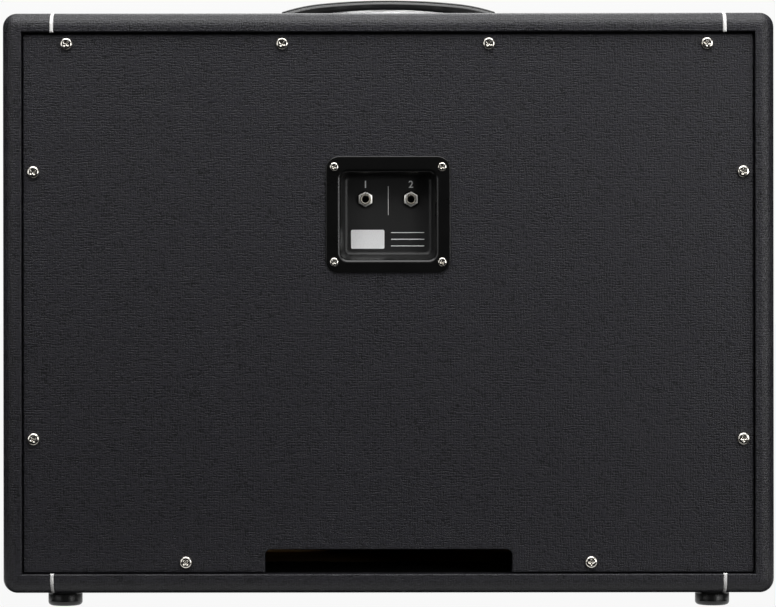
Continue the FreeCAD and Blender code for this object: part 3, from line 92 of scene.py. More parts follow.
class Finish:
    """A material whose nodes are added by short calls that return output sockets."""

    def __init__(self, name):
        self.material = bpy.data.materials.new(name)
        self.material.use_nodes = True
        self.tree = self.material.node_tree
        self.shader = self.tree.nodes["Principled BSDF"]
        self.place = self.node("TexCoord").outputs["Object"]

    def node(self, kind, **settings):
        """New shader node with these settings."""
        made = self.tree.nodes.new("ShaderNode" + kind)
        for name, value in settings.items():
            setattr(made, name, value)
        return made

    def feed(self, socket, value):
        """Links an output to a socket, or sets the socket to a constant."""
        if isinstance(value, bpy.types.NodeSocket):
            self.tree.links.new(value, socket)
        else:
            socket.default_value = value

    def calc(self, operation, *values):
        """Result of a sum on outputs and constants."""
        made = self.node("Math", operation=operation)
        for socket, value in zip(made.inputs, values):
            self.feed(socket, value)
        return made.outputs[0]

    def axes(self, vector=None):
        """X, Y and Z of a place."""
        made = self.node("SeparateXYZ")
        self.feed(made.inputs[0], self.place if vector is None else vector)
        return made.outputs[0], made.outputs[1], made.outputs[2]

    def scaled(self, scale, place=None):
        """Place multiplied along each axis, so that noise on it gets finer."""
        made = self.node("VectorMath", operation="MULTIPLY")
        self.feed(made.inputs[0], self.place if place is None else place)
        made.inputs[1].default_value = scale
        return made.outputs[0]

    def noise(self, scale, detail=2.0, place=None):
        """Cloudy pattern from 0 to 1 with this many waves per metre along each axis."""
        made = self.node("TexNoise")
        self.feed(made.inputs["Vector"], self.scaled(scale, place))
        made.inputs["Scale"].default_value = 1.0
        made.inputs["Detail"].default_value = detail
        return made.outputs[0]

    def speckle(self, per_metre, detail=2.0):
        """Cloudy pattern that is equally fine along all axes."""
        return self.noise((per_metre, per_metre, per_metre), detail)

    def step(self, value, start, end, low=0.0, high=1.0):
        """Smooth change from low to high as a value goes from start to end."""
        made = self.node("MapRange", interpolation_type="SMOOTHSTEP")
        for socket, number in zip(made.inputs, (value, start, end, low, high)):
            self.feed(socket, number)
        return made.outputs[0]

    def wave(self, value, per_metre):
        """Ripple from 0 to 1 along a coordinate."""
        turn = self.calc("SINE", self.calc("MULTIPLY", value, per_metre * math.tau))
        return self.calc("MULTIPLY_ADD", turn, 0.5, 0.5)

    def mix(self, factor, first, second):
        """Colour between two colours."""
        made = self.node("Mix", data_type="RGBA")
        for index, value in ((0, factor), (6, first), (7, second)):
            self.feed(made.inputs[index], value)
        return made.outputs[2]

    def edges(self):
        """1 on rounded edges of a boxy piece and 0 on its flat faces."""
        normal = self.axes(self.node("NewGeometry").outputs["Normal"])
        size = [self.calc("ABSOLUTE", part) for part in normal]
        longest = self.calc("MAXIMUM", self.calc("MAXIMUM", size[0], size[1]), size[2])
        return self.step(longest, 0.985, 0.86)

    def bump(self, height, depth, under=None):
        """Normal of a surface whose relief has this depth in metres."""
        made = self.node("Bump")
        made.inputs["Strength"].default_value = 1.0
        made.inputs["Distance"].default_value = depth
        self.feed(made.inputs["Height"], height)
        if under is not None:
            self.feed(made.inputs["Normal"], under)
        return made.outputs[0]

    def done(self, colour, roughness, normal=None, **constants):
        """Feeds the shader and returns the material."""
        self.feed(self.shader.inputs["Base Color"], colour)
        self.feed(self.shader.inputs["Roughness"], roughness)
        if normal is not None:
            self.feed(self.shader.inputs["Normal"], normal)
        for name, value in constants.items():
            self.shader.inputs[name.replace("_", " ")].default_value = value
        return self.material


def grey(level, warmth=0.0):
    """Linear colour of a grey written as an 8-bit screen level, warmer or cooler by a share."""
    share = level / 255
    linear = share / 12.92 if share <= 0.04045 else ((share + 0.055) / 1.055) ** 2.4
    return (linear * (1 + warmth), linear, linear * (1 - warmth), 1.0)


def tint(red, green, blue):
    """Linear colour of an 8-bit screen colour."""
    return (grey(red)[0], grey(green)[0], grey(blue)[0], 1.0)


# Materials, one for each slot of the record


def vinyl():
    """Black vinyl embossed like linen: crossing threads in short dashes, with painted shade in the low parts
    of the emboss, paler on the rubbed edges.
    """
    threads_per_metre = 430.0
    dashes_across = 1150.0
    dashes_along = 240.0
    f = Finish("black_vinyl")
    wander = f.calc("MULTIPLY", f.speckle(70.0, 2.0), 0.003)
    total = 0.0
    for axis, share in enumerate((0.95, 0.65, 0.65)):
        scale = [dashes_across, dashes_across, dashes_across]
        scale[axis] = dashes_along
        dash = f.step(f.noise(scale, 1.0), 0.28, 0.72, 0.0, share)
        thread = f.wave(f.calc("ADD", f.axes()[axis], wander), threads_per_metre)
        total = f.calc("ADD", total, f.calc("MULTIPLY_ADD", thread, 0.4, dash))
    weave = f.step(total, 0.95, 2.5)
    cloud = f.step(f.speckle(7.0, 3.0), 0.3, 0.7)
    worn = f.calc("MULTIPLY", f.edges(), f.step(f.speckle(34.0, 4.0), 0.45, 0.75))
    # painted shade: the low parts of the emboss take the darker colour, shade painted into its hollows on top
    # of the bump's own shading
    colour = f.mix(weave, tint(13, 12.8, 14.8), tint(44, 43.3, 48))
    colour = f.mix(f.calc("MULTIPLY", cloud, 0.12), colour, tint(42, 41.3, 46))
    colour = f.mix(f.calc("MULTIPLY", worn, 0.2), colour, grey(66))
    roughness = f.calc("MULTIPLY_ADD", weave, -0.08, 0.42)
    fine = f.bump(f.speckle(2600.0, 2.0), 0.00002)
    return f.done(colour, roughness, f.bump(weave, 0.0002, fine), Specular_IOR_Level=0.3)


def white_piping():
    """White plastic bead, a little grubby in places."""
    f = Finish("white_piping")
    grime = f.step(f.speckle(46.0, 4.0), 0.52, 0.8)
    colour = f.mix(f.calc("MULTIPLY", grime, 0.5), grey(238, 0.015), grey(196, 0.05))
    roughness = f.calc("MULTIPLY_ADD", grime, 0.2, 0.36)
    return f.done(colour, roughness, f.bump(f.speckle(420.0, 3.0), 0.00005), Specular_IOR_Level=0.4)


def rubber():
    """Matt black rubber with a fine mould texture and a dusty bloom."""
    f = Finish("black_rubber")
    bloom = f.step(f.speckle(60.0, 4.0), 0.4, 0.8)
    colour = f.mix(bloom, grey(14), grey(22, 0.02))
    roughness = f.calc("MULTIPLY_ADD", bloom, 0.12, 0.32)
    return f.done(colour, roughness, f.bump(f.speckle(1900.0, 3.0), 0.00003), Specular_IOR_Level=0.6)


def plastic():
    """Black moulded plastic, satin inside the dish and smoother where it is handled."""
    f = Finish("black_plastic")
    handled = f.step(f.speckle(40.0, 3.0), 0.4, 0.7)
    satin = f.step(f.axes()[1], satin_start_y, satin_full_y)
    colour = f.mix(handled, grey(3), grey(6))
    colour = f.mix(satin, colour, grey(23))
    roughness = f.calc("MULTIPLY_ADD", handled, -0.04, 0.31)
    roughness = f.calc("MULTIPLY_ADD", satin, 0.2, roughness)
    return f.done(colour, roughness, f.bump(f.speckle(2400.0, 2.0), 0.000012), Specular_IOR_Level=0.4)


def metal(name, bright, dull, polish, scratch):
    """Plated metal with dull spots and fine scratches along all axes."""
    f = Finish(name)
    spots = f.step(f.speckle(240.0, 4.0), 0.5, 0.78)
    colour = f.mix(spots, bright, dull)
    roughness = f.calc("MULTIPLY_ADD", f.speckle(900.0, 3.0), 0.16, polish)
    lines = f.calc("MAXIMUM", f.noise((260.0, 260.0, 7000.0), 1.0), f.noise((7000.0, 260.0, 260.0), 1.0))
    return f.done(colour, roughness, f.bump(lines, scratch), Metallic=1.0)


def plywood(name, thickness_axis, pale, dark):
    """Plywood: long grain on the faces, thin plies across the thickness, and black painted shade over its rear
    part, round the port.
    """
    plies_per_metre = 312.0
    shade_start_y = 0.02
    shade_full_y = 0.03
    f = Finish(name)
    scale = [60.0, 60.0, 60.0]
    scale[(thickness_axis + 1) % 3] = 4.0
    grain = f.step(f.noise(scale, 6.0), 0.3, 0.7)
    pores = f.step(f.noise([9.0 * part for part in scale], 2.0), 0.55, 0.72)
    plies = f.step(f.wave(f.axes()[thickness_axis], plies_per_metre), 0.44, 0.56)
    colour = f.mix(f.calc("MULTIPLY_ADD", plies, 0.25, f.calc("MULTIPLY", grain, 0.6)), pale, dark)
    # painted shade: plywood towards the back goes near black, for the dark inside seen through the port
    shade_edge_y = f.calc("MULTIPLY_ADD", f.noise((50.0, 8.0, 50.0), 3.0), 0.03, f.axes()[1])
    painted = f.step(shade_edge_y, shade_start_y, shade_full_y)
    colour = f.mix(painted, colour, f.mix(grain, grey(9), grey(13)))
    roughness = f.calc("MULTIPLY_ADD", grain, 0.15, 0.6)
    return f.done(colour, roughness, f.bump(pores, 0.00012), Specular_IOR_Level=0.2)


def grille_weave():
    """Woven grille cloth: black strands, with a silver-grey strand in every fourth row and column, and painted
    shade where the strands dip.
    """
    strands_per_metre = 620.0
    f = Finish("grille_cloth")
    x, _, z = f.axes()
    warp = f.wave(x, strands_per_metre)
    weft = f.wave(z, strands_per_metre)
    sides = [f.calc("SUBTRACT", f.wave(along, strands_per_metre / 2), 0.5) for along in (x, z)]
    over = f.step(f.calc("MULTIPLY", *sides), -0.02, 0.02)
    under = f.calc("SUBTRACT", 1.0, over)
    height = f.calc("ADD", f.calc("MULTIPLY", warp, over), f.calc("MULTIPLY", weft, under))
    bright_warp = f.calc("MULTIPLY", f.step(f.wave(x, strands_per_metre / 4), 0.8, 0.9), over)
    bright_weft = f.calc("MULTIPLY", f.step(f.wave(z, strands_per_metre / 4), 0.8, 0.9), under)
    bright = f.calc("MAXIMUM", bright_warp, bright_weft)
    fluff = f.noise((90.0, 90.0, 1800.0), 2.0)
    # painted shade: the weave height darkens the strands where they dip between crossings; the fluff gives
    # their own uneven tone
    thread = f.calc("MULTIPLY_ADD", fluff, 0.5, f.calc("MULTIPLY", height, 0.5))
    colour = f.mix(thread, grey(13), grey(40))
    colour = f.mix(f.calc("MULTIPLY", bright, 0.9), colour, grey(150, 0.02))
    roughness = f.calc("MULTIPLY_ADD", bright, -0.3, 0.8)
    return f.done(colour, roughness, f.bump(height, 0.0005), Specular_IOR_Level=0.3)


def fibrous(name, pale, dark, per_metre, depth, gloss):
    """Paper, felt or board: matted fibres along all axes."""
    f = Finish(name)
    mats = []
    for axis in range(3):
        scale = [per_metre, per_metre, per_metre]
        scale[axis] = per_metre / 7
        mats.append(f.noise(scale, 3.0))
    fibres = f.calc("MAXIMUM", f.calc("MAXIMUM", mats[0], mats[1]), mats[2])
    colour = f.mix(f.step(fibres, 0.45, 0.75), dark, pale)
    roughness = f.calc("MULTIPLY_ADD", fibres, 0.2, gloss)
    return f.done(colour, roughness, f.bump(fibres, depth), Specular_IOR_Level=0.25)


def spider_cloth():
    """Resin-stiffened cotton of a driver's spider, in a plain weave."""
    threads_per_metre = 900.0
    f = Finish("spider_cloth")
    x, _, z = f.axes()
    weave = f.calc("MULTIPLY", f.wave(x, threads_per_metre), f.wave(z, threads_per_metre))
    stain = f.step(f.speckle(50.0, 3.0), 0.35, 0.7)
    colour = f.mix(stain, tint(196, 154, 84), tint(168, 118, 56))
    roughness = f.calc("MULTIPLY_ADD", weave, 0.2, 0.55)
    return f.done(colour, roughness, f.bump(weave, 0.0002), Specular_IOR_Level=0.3)


def coil_copper():
    """Lacquered copper wire wound in close turns, with painted shade in the grooves between them."""
    f = Finish("coil_copper")
    turns = f.wave(f.axes()[1], 4200.0)
    # painted shade: the copper is darker where the turns dip, in the grooves between them
    colour = f.mix(turns, tint(120, 62, 30), tint(206, 122, 70))
    roughness = f.calc("MULTIPLY_ADD", turns, -0.1, 0.4)
    return f.done(colour, roughness, f.bump(turns, 0.00006), Metallic=1.0)


def ferrite():
    """Pressed ferrite: dull dark grey with pits and chips."""
    f = Finish("ferrite")
    pits = f.step(f.speckle(700.0, 4.0), 0.4, 0.7)
    colour = f.mix(pits, grey(48), grey(66, 0.01))
    roughness = f.calc("MULTIPLY_ADD", pits, 0.2, 0.5)
    return f.done(colour, roughness, f.bump(pits, 0.00012), Specular_IOR_Level=0.4)


def chassis_paint():
    """Black stoved paint with a slight orange peel."""
    f = Finish("chassis_paint")
    peel = f.speckle(520.0, 2.0)
    colour = f.mix(f.step(f.speckle(30.0, 4.0), 0.4, 0.8), grey(20), grey(31))
    roughness = f.calc("MULTIPLY_ADD", peel, 0.15, 0.28)
    return f.done(colour, roughness, f.bump(peel, 0.00006), Specular_IOR_Level=0.45)


def wire_cover(name, colour, marked):
    """Soft plastic cover of a wire, with scuffs."""
    f = Finish(name)
    scuff = f.step(f.speckle(130.0, 4.0), 0.5, 0.78)
    roughness = f.calc("MULTIPLY_ADD", scuff, 0.25, 0.34)
    colour = f.mix(scuff, colour, marked)
    return f.done(colour, roughness, f.bump(f.speckle(900.0, 2.0), 0.00003), Specular_IOR_Level=0.4)


def printed_white():
    """White ink on textured plastic, thin in places."""
    f = Finish("printed_white")
    thin = f.step(f.speckle(1100.0, 3.0), 0.5, 0.75)
    colour = f.mix(f.calc("MULTIPLY", thin, 0.3), grey(240), grey(190))
    roughness = f.calc("MULTIPLY_ADD", thin, 0.2, 0.5)
    return f.done(colour, roughness, f.bump(thin, 0.00002), Specular_IOR_Level=0.3)


BIRCH = (tint(214, 180, 130), tint(176, 134, 84))
BLACKED = (grey(26), grey(14))

finishes = {
    "black_vinyl": vinyl(),
    "white_piping": white_piping(),
    "black_rubber": rubber(),
    "black_plastic": plastic(),
    "nickel": metal("nickel", tint(226, 222, 214), tint(186, 178, 164), 0.12, 0.000003),
    "zinc_steel": metal("zinc_steel", tint(196, 196, 190), tint(150, 148, 138), 0.3, 0.00002),
    "jack_metal": metal("jack_metal", tint(222, 218, 208), tint(182, 172, 150), 0.42, 0.000012),
    "plywood": plywood("plywood", 2, *BIRCH),
    "black_ply": plywood("black_ply", 1, *BLACKED),
    "grille_cloth": grille_weave(),
    "hook_pad": fibrous("hook_pad", grey(40), grey(12), 1500.0, 0.0006, 0.75),
    "fibre": fibrous("fibre", tint(150, 92, 48), tint(104, 58, 28), 1100.0, 0.00006, 0.4),
    "chassis_paint": chassis_paint(),
    "gasket_board": fibrous("gasket_board", tint(92, 72, 54), tint(58, 44, 32), 800.0, 0.00018, 0.7),
    "ferrite": ferrite(),
    "cone_paper": fibrous("cone_paper", grey(62, 0.03), grey(34, 0.02), 900.0, 0.00016, 0.72),
    "dust_cap_paper": fibrous("dust_cap_paper", grey(50, 0.02), grey(26), 1500.0, 0.0002, 0.76),
    "spider_cloth": spider_cloth(),
    "coil_copper": coil_copper(),
    "red_wire": wire_cover("red_wire", tint(168, 22, 18), tint(190, 70, 60)),
    "black_wire": wire_cover("black_wire", grey(22), grey(52)),
}
side_plywood = plywood("side_plywood", 0, *BIRCH)
turned_nickel = metal("turned_nickel", tint(252, 251, 247), tint(228, 224, 214), 0.4, 0.00002)
washer_black = fibrous("washer_black", grey(5), grey(3), 1500.0, 0.00001, 0.5)
ink = printed_white()


def paint(thing, finish):
    """Gives every face of an object one finish."""
    if not thing.material_slots:
        thing.data.materials.append(finish)
    for slot in thing.material_slots:
        slot.material = finish


for part in frame["record"]["subparts"]:
    paint(frame["nodes"][part["node"]], finishes[part["material_slot"]])
for node in ("left_side_panel", "right_side_panel"):
    paint(frame["nodes"][node], side_plywood)


# Mesh helpers


def merged(mesh):
    """Places of a mesh's points, each place once, and for each point the number of its place."""
    spots = {}
    owner = [spots.setdefault(tuple(round(c, 6) for c in v.co), len(spots)) for v in mesh.vertices]
    return list(spots), owner


def corners(points):
    """Lowest and highest corner of the box round some points."""
    low, high = ([pick(p[i] for p in points) for i in range(3)] for pick in (min, max))
    return Vector(low), Vector(high)


def solids(node):
    """Lowest and highest corner of each solid in a CAD node. Solids that share points count as one."""
    mesh = frame["nodes"][node].data
    spots, owner = merged(mesh)
    parent = list(range(len(spots)))

    def root(spot):
        while parent[spot] != spot:
            parent[spot] = parent[parent[spot]]
            spot = parent[spot]
        return spot

    for edge in mesh.edges:
        parent[root(owner[edge.vertices[0]])] = root(owner[edge.vertices[1]])
    groups = {}
    for vertex, spot in zip(mesh.vertices, owner):
        groups.setdefault(root(spot), []).append(vertex.co)
    return [corners(points) for points in groups.values()]


def lathe(rows, count):
    """Points and faces of a body turned about Z from rows of radius and height, from pole to pole."""
    points = []
    rings = []
    for radius, height in rows:
        angles = [math.tau * k / count for k in range(count if radius > 0 else 1)]
        rings.append([len(points) + k % len(angles) for k in range(count + 1)])
        points += [Vector((radius * math.cos(a), radius * math.sin(a), height)) for a in angles]
    faces = []
    for here, there in zip(rings, rings[1:]):
        for k in range(count):
            loop = (here[k], there[k], there[k + 1], here[k + 1])
            faces.append(tuple(dict.fromkeys(loop)))
    return points, faces


def joined(bodies):
    """Points and faces of several bodies as one."""
    points = []
    faces = []
    for body_points, body_faces in bodies:
        faces += [tuple(index + len(points) for index in face) for face in body_faces]
        points += body_points
    return points, faces


def placed(body, turn, place):
    """Body with its points turned by a matrix and moved."""
    return [turn @ point + place for point in body[0]], body[1]


def piece(name, body, finish, smooth=35.0):
    """Mesh object with a finish, smooth except at edges sharper than an angle in degrees."""
    mesh = bpy.data.meshes.new(name)
    mesh.from_pydata(body[0], [], body[1])
    mesh.validate()
    mesh.shade_smooth()
    mesh.set_sharp_from_angle(angle=math.radians(smooth))
    made = bpy.data.objects.new(name, mesh)
    bpy.context.scene.collection.objects.link(made)
    made.data.materials.append(finish)
    return made


def settled(thing):
    """Makes the modifiers of an object into mesh."""
    bpy.context.view_layer.update()
    shaped = thing.evaluated_get(bpy.context.evaluated_depsgraph_get())
    mesh = bpy.data.meshes.new_from_object(shaped)
    thing.modifiers.clear()
    thing.data = mesh


def eased(share):
    """Smooth step of a number held between 0 and 1."""
    share = min(max(share, 0.0), 1.0)
    return share * share * (3 - 2 * share)


# Screws


def cross_depth(x, y, radius):
    """Depth share of a cross recess at a spot on a screw's head: two grooves that deepen to the middle."""
    deepest = 0.0
    for along, across in ((abs(x) / radius, abs(y) / radius), (abs(y) / radius, abs(x) / radius)):
        width = 0.2 - 0.16 * along
        groove = max(0.0, 1 - across / max(width, 0.04))
        reach = 1 - eased((along - 0.3) / 0.26)
        deepest = max(deepest, groove * reach)
    return deepest


def screw_head(radius, height):
    """Pan head, flat on top with a rounded rim and a cross recess, standing on Z = 0."""
    rows = [(0.0, height)]
    for k in range(1, 37):
        share = math.sin(k / 36 * math.pi / 2)
        rows.append((radius * share, height * (1 - share ** 6) ** 0.5))
    points, faces = lathe(rows + [(0.0, 0.0)], 120)
    for point in points[:-1]:
        point.z -= 0.16 * radius * cross_depth(point.x, point.y, radius)
    return points, faces


def screw_shank(radius, length, pitch):
    """Threaded shank with a point, hanging below a head."""
    core = radius * 0.8
    sunk = 0.4 * MM
    rows = [(0.0, sunk), (core, sunk)]
    turns = int(length / pitch) - 3
    for k in range(turns):
        rows.append((core, -pitch * (k + 0.35)))
        rows.append((radius, -pitch * (k + 0.5)))
        rows.append((core, -pitch * (k + 0.65)))
    return lathe(rows + [(0.0, -length)], 20)


def screws(name, node, head_radius, head_height, shank_radius, pitch):
    """Fine screws in place of a node's plain ones, each turned differently."""
    bodies = []
    for low, high in solids(node):
        length = high.y - low.y - head_height
        place = Vector(((low.x + high.x) / 2, high.y - head_height, (low.z + high.z) / 2))
        turn = FACING_BACK @ Matrix.Rotation(random.uniform(0, math.tau), 3, "Z")
        body = joined([screw_head(head_radius, head_height), screw_shank(shank_radius, length, pitch)])
        bodies.append(placed(body, turn, place))
    made = piece(name, joined(bodies), finishes["nickel"], 50.0)
    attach(made, "cabinet")
    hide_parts(node)


screws("panel_screws", "back_panel_screws", 5.75 * MM, 3.2 * MM, 2.0 * MM, 1.6 * MM)
screws("dish_screws", "jack_dish_screws", 4.1 * MM, 2.0 * MM, 1.6 * MM, 1.2 * MM)


# Jack nuts and washers


def hexagon_nut(flats, thickness, bore):
    """Hexagon nut with a point up, chamfered round the top and in the bore."""
    count = 96
    chamfer = flats / 2 * 0.86
    slope = 0.5
    soft = 0.35 * MM
    points = []
    for k in range(count):
        angle = math.tau * k / count
        reach = flats / 2 / math.cos((angle + math.pi / 6) % (math.pi / 3) - math.pi / 6)
        outline = (
            (bore / 2, 0.0),
            (bore / 2, thickness - soft),
            (bore / 2 + soft, thickness),
            (chamfer, thickness),
            (reach, thickness - (reach - chamfer) * slope),
            (reach, 0.0),
        )
        for radius, height in outline:
            points.append(Vector((radius * math.cos(angle), radius * math.sin(angle), height)))
    size = len(outline)
    faces = []
    for k in range(count):
        here = size * k
        there = size * ((k + 1) % count)
        for step in range(size):
            after = (step + 1) % size
            faces.append((here + step, here + after, there + after, there + step))
    return points, faces


def ring_washer(diameter, bore, thickness):
    """Flat washer with softened edges."""
    soft = 0.12 * MM
    inner = bore / 2
    outer = diameter / 2
    rows = [(inner, 0.0), (inner, thickness - soft), (inner + soft, thickness)]
    rows += [(outer - soft, thickness), (outer, thickness - soft), (outer, 0.0), (inner, 0.0)]
    return lathe(rows, 72)


def jack_nuts():
    """A bright nut on a dark washer round each jack."""
    washer_diameter = 15.5 * MM
    washer_thickness = 0.8 * MM
    flats = 12.0 * MM
    bore = 9.8 * MM
    low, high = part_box("jack_nuts")
    nuts = []
    washers = []
    for x in (low.x + washer_diameter / 2, high.x - washer_diameter / 2):
        place = Vector((x, low.y, (low.z + high.z) / 2))
        seat = place + Vector((0, washer_thickness, 0))
        washers.append(placed(ring_washer(washer_diameter, bore, washer_thickness), FACING_BACK, place))
        nuts.append(placed(hexagon_nut(flats, high.y - seat.y, bore), FACING_BACK, seat))
    for name, bodies, finish, slot in (
        ("nuts", nuts, turned_nickel, "nickel"),
        ("washers", washers, washer_black, "black_plastic"),
    ):
        made = piece("jack_" + name + "_fine", joined(bodies), finish, 20.0)
        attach(made, "cabinet")
        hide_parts("jack_nuts")


jack_nuts()


# Feet


def rubber_foot(radius, height):
    """Moulded foot, face up: rounded rims, a parting line round the side and a recess for the screw."""
    recess_floor = height - 7.0 * MM
    rows = [(0.0, recess_floor), (8.6 * MM, recess_floor), (9.2 * MM, height - 6.6 * MM)]
    rows += [(9.5 * MM, height - 0.8 * MM), (9.8 * MM, height - 0.2 * MM), (10.4 * MM, height)]
    rim = 3.4 * MM
    steps = 8
    for k in range(steps + 1):
        angle = k / steps * math.pi / 2
        rows.append((radius - rim * (1 - math.sin(angle)), height - rim * (1 - math.cos(angle))))
    parting = height * 0.3
    groove = 0.3 * MM
    rows += [(radius, parting + groove), (radius - 0.15 * MM, parting), (radius, parting - groove)]
    soft = 0.4 * MM
    rows += [(radius, soft), (radius - soft, 0.0), (0.0, 0.0)]
    return lathe(rows, 80)


def feet():
    """Four rubber feet, recess down."""
    down = Matrix(((1, 0, 0), (0, -1, 0), (0, 0, -1)))
    bodies = []
    for low, high in solids("rubber_feet"):
        body = rubber_foot((high.x - low.x) / 2, high.z - low.z)
        bodies.append(placed(body, down, Vector(((low.x + high.x) / 2, (low.y + high.y) / 2, high.z))))
    made = piece("feet", joined(bodies), finishes["black_rubber"])
    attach(made, "cabinet")
    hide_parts("rubber_feet")


feet()


# Grille cloth


def cloth_sag(x, z, half_width, half_height):
    """How far the stretched cloth pulls back: a little between the rails, and round the outer edge."""
    rail = 28.0 * MM
    easing = 60.0 * MM
    turn_width = 1.6 * MM
    bay_depth = 0.35 * MM
    turn_depth = 0.2 * MM
    bays = 1.0
    for distance in (half_width - rail - abs(x), abs(x) - rail / 2, half_height - rail - abs(z)):
        bays *= eased(distance / easing)
    edge = min(half_width - abs(x), half_height - abs(z))
    turn = 1 - min(edge / turn_width, 1.0)
    return bay_depth * bays + turn_depth * turn * turn


def grille_cloth():
    """Cloth stretched over the grille's frame and turned round its edges."""
    low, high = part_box("grille_cloth")
    middle = (low + high) / 2
    half_width = (high.x - low.x) / 2
    half_height = (high.z - low.z) / 2
    steps = 96
    inner = [k / steps for k in range(1, steps)]
    spread = [0.0, 0.0008, 0.0017, 0.003] + inner + [0.997, 0.9983, 0.9992, 1.0]
    columns = [half_width * (2 * s - 1) for s in spread]
    rows = [half_height * (2 * s - 1) for s in spread]
    points = []
    for z in rows:
        for x in columns:
            sag = cloth_sag(x, z, half_width, half_height)
            points.append(Vector((middle.x + x, low.y + sag, middle.z + z)))
    wide = len(columns)
    faces = []
    for row in range(len(rows) - 1):
        for column in range(wide - 1):
            corner = row * wide + column
            faces.append((corner, corner + 1, corner + wide + 1, corner + wide))
    made = piece("stretched_cloth", (points, faces), finishes["grille_cloth"], 80.0)
    body = made.modifiers.new("thickness", "SOLIDIFY")
    body.thickness = 0.65 * MM
    body.offset = -1.0
    settled(made)
    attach(made, "cabinet")
    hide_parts("grille_cloth")


grille_cloth()


# Flexible parts of the drivers


def node_body(node):
    """Points and faces of a CAD node, with the points in one place joined."""
    mesh = frame["nodes"][node].data
    spots, owner = merged(mesh)
    faces = [[owner[k] for k in face.vertices] for face in mesh.polygons]
    return [Vector(spot) for spot in spots], [face for face in faces if len(set(face)) == len(face)]


def bending_ring(node, slot):
    """Corrugated ring cut into sectors, each a piece of its own; on the driver it is held at its outer land
    and moved by the cone at an inset from its rim.
    """
    points, faces = node_body(node)
    low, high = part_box(node)
    middle = (low + high) / 2
    count = 12
    sectors = [[] for _ in range(count)]
    for face in faces:
        spot = sum((points[k] for k in face), Vector()) / len(face) - middle
        sectors[math.floor(math.atan2(spot.z, spot.x) / math.tau * count) % count].append(face)
    for number, sector in enumerate(sectors):
        used = sorted({k for face in sector for k in face})
        place = {k: spot for spot, k in enumerate(used)}
        body = [points[k] for k in used], [[place[k] for k in face] for face in sector]
        made = piece(f"{node}_sector_{number + 1}", body, finishes[slot])
        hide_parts(node)
        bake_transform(made)


def bending_leads(node, slot, axis):
    """Tinsel leads as one piece; on the driver they are held at their terminals and moved by the cone at their
    other ends.
    """
    body = node_body(node)
    low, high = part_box(node)
    ray = (low + high) / 2 - axis
    ray.y = 0
    ray.normalize()
    made = piece(node + "_bending", body, finishes[slot])
    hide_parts(node)
    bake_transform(made)


def flexible_parts(side):
    """Surround, spider and leads of one driver."""
    low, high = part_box(side + "_driver_surround")
    bending_ring(side + "_driver_surround", "cone_paper")
    bending_ring(side + "_driver_spider", "spider_cloth")
    bending_leads(side + "_driver_tinsel_leads", "coil_copper", axis=(low + high) / 2)


flexible_parts("left")
flexible_parts("right")


# Flexible ends of the handle


def tongue_line(share):
    """X and height of a tongue's underside, from the grip's end to the end in the cap."""
    rise = 4.2 * MM
    x = grip_end_x + share * (tongue_end_x - grip_end_x)
    drop = eased((x - grip_end_x) / (tongue_level_x - grip_end_x))
    return x, top_z + rise - 2.2 * MM * drop


def tongue(name, side):
    """One flexible end of the strap, with a slot for its bolt."""
    half_width = 11.0 * MM
    across = [half_width * s for s in (-1.0, -0.94, -0.8, -0.5, -0.24, 0.24, 0.5, 0.8, 0.94, 1.0)]
    slot_column = 4
    points = []
    faces = []
    length = 40
    for k in range(length + 1):
        x, z = tongue_line(k / length)
        points += [Vector((side * x, side * y, z)) for y in across]
    wide = len(across)
    for k in range(length):
        x = tongue_line((k + 0.5) / length)[0]
        for column in range(wide - 1):
            if column == slot_column and bolt_slot_start_x < x < bolt_slot_end_x:
                continue
            corner = k * wide + column
            faces.append((corner, corner + wide, corner + wide + 1, corner + 1))
    made = piece(name, (points, faces), finishes["black_rubber"], 40.0)
    body = made.modifiers.new("thickness", "SOLIDIFY")
    body.thickness = 3.6 * MM
    body.offset = 1.0
    soft = made.modifiers.new("soft_edges", "BEVEL")
    soft.width = 0.7 * MM
    soft.segments = 3
    soft.limit_method = "ANGLE"
    soft.angle_limit = math.radians(50)
    settled(made)
    made.data.shade_smooth()
    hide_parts("handle_tongues")
    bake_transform(made)


tongue("tongue_left", -1)
tongue("tongue_right", 1)


# Marks printed in the jack dish


def plate(width, height, corner):
    """Thin plate with round corners, facing Z."""
    thickness = 0.06 * MM
    ring = []
    for turn, (sx, sy) in enumerate(((1, 1), (-1, 1), (-1, -1), (1, -1))):
        for k in range(7):
            angle = math.pi / 2 * (turn + k / 6)
            ring.append((sx * (width / 2 - corner) + corner * math.cos(angle),
                         sy * (height / 2 - corner) + corner * math.sin(angle)))
    count = len(ring)
    points = [Vector((x, y, -thickness)) for x, y in ring] + [Vector((x, y, thickness)) for x, y in ring]
    faces = [tuple(range(count, 2 * count)), tuple(reversed(range(count)))]
    faces += [(k, (k + 1) % count, count + (k + 1) % count, count + k) for k in range(count)]
    return points, faces


def printed_fields():
    """Rule between the jacks, and a blank field with empty lines beside it below them."""
    bodies = []
    rule = (0.0, 0.3665, 0.5, 26.0, 0.24)
    field = (0.0185, 0.3318, 30.0, 17.0, 1.2)
    lines = [(-0.0175, z, 30.0, 0.7, 0.3) for z in (0.3378, 0.3318, 0.3258)]
    for x, z, width, height, corner in (rule, field, *lines):
        body = plate(width * MM, height * MM, corner * MM)
        bodies.append(placed(body, FACING_BACK, Vector((x, dish_floor_y, z))))
    made = piece("dish_fields", joined(bodies), ink)
    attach(made, "cabinet")


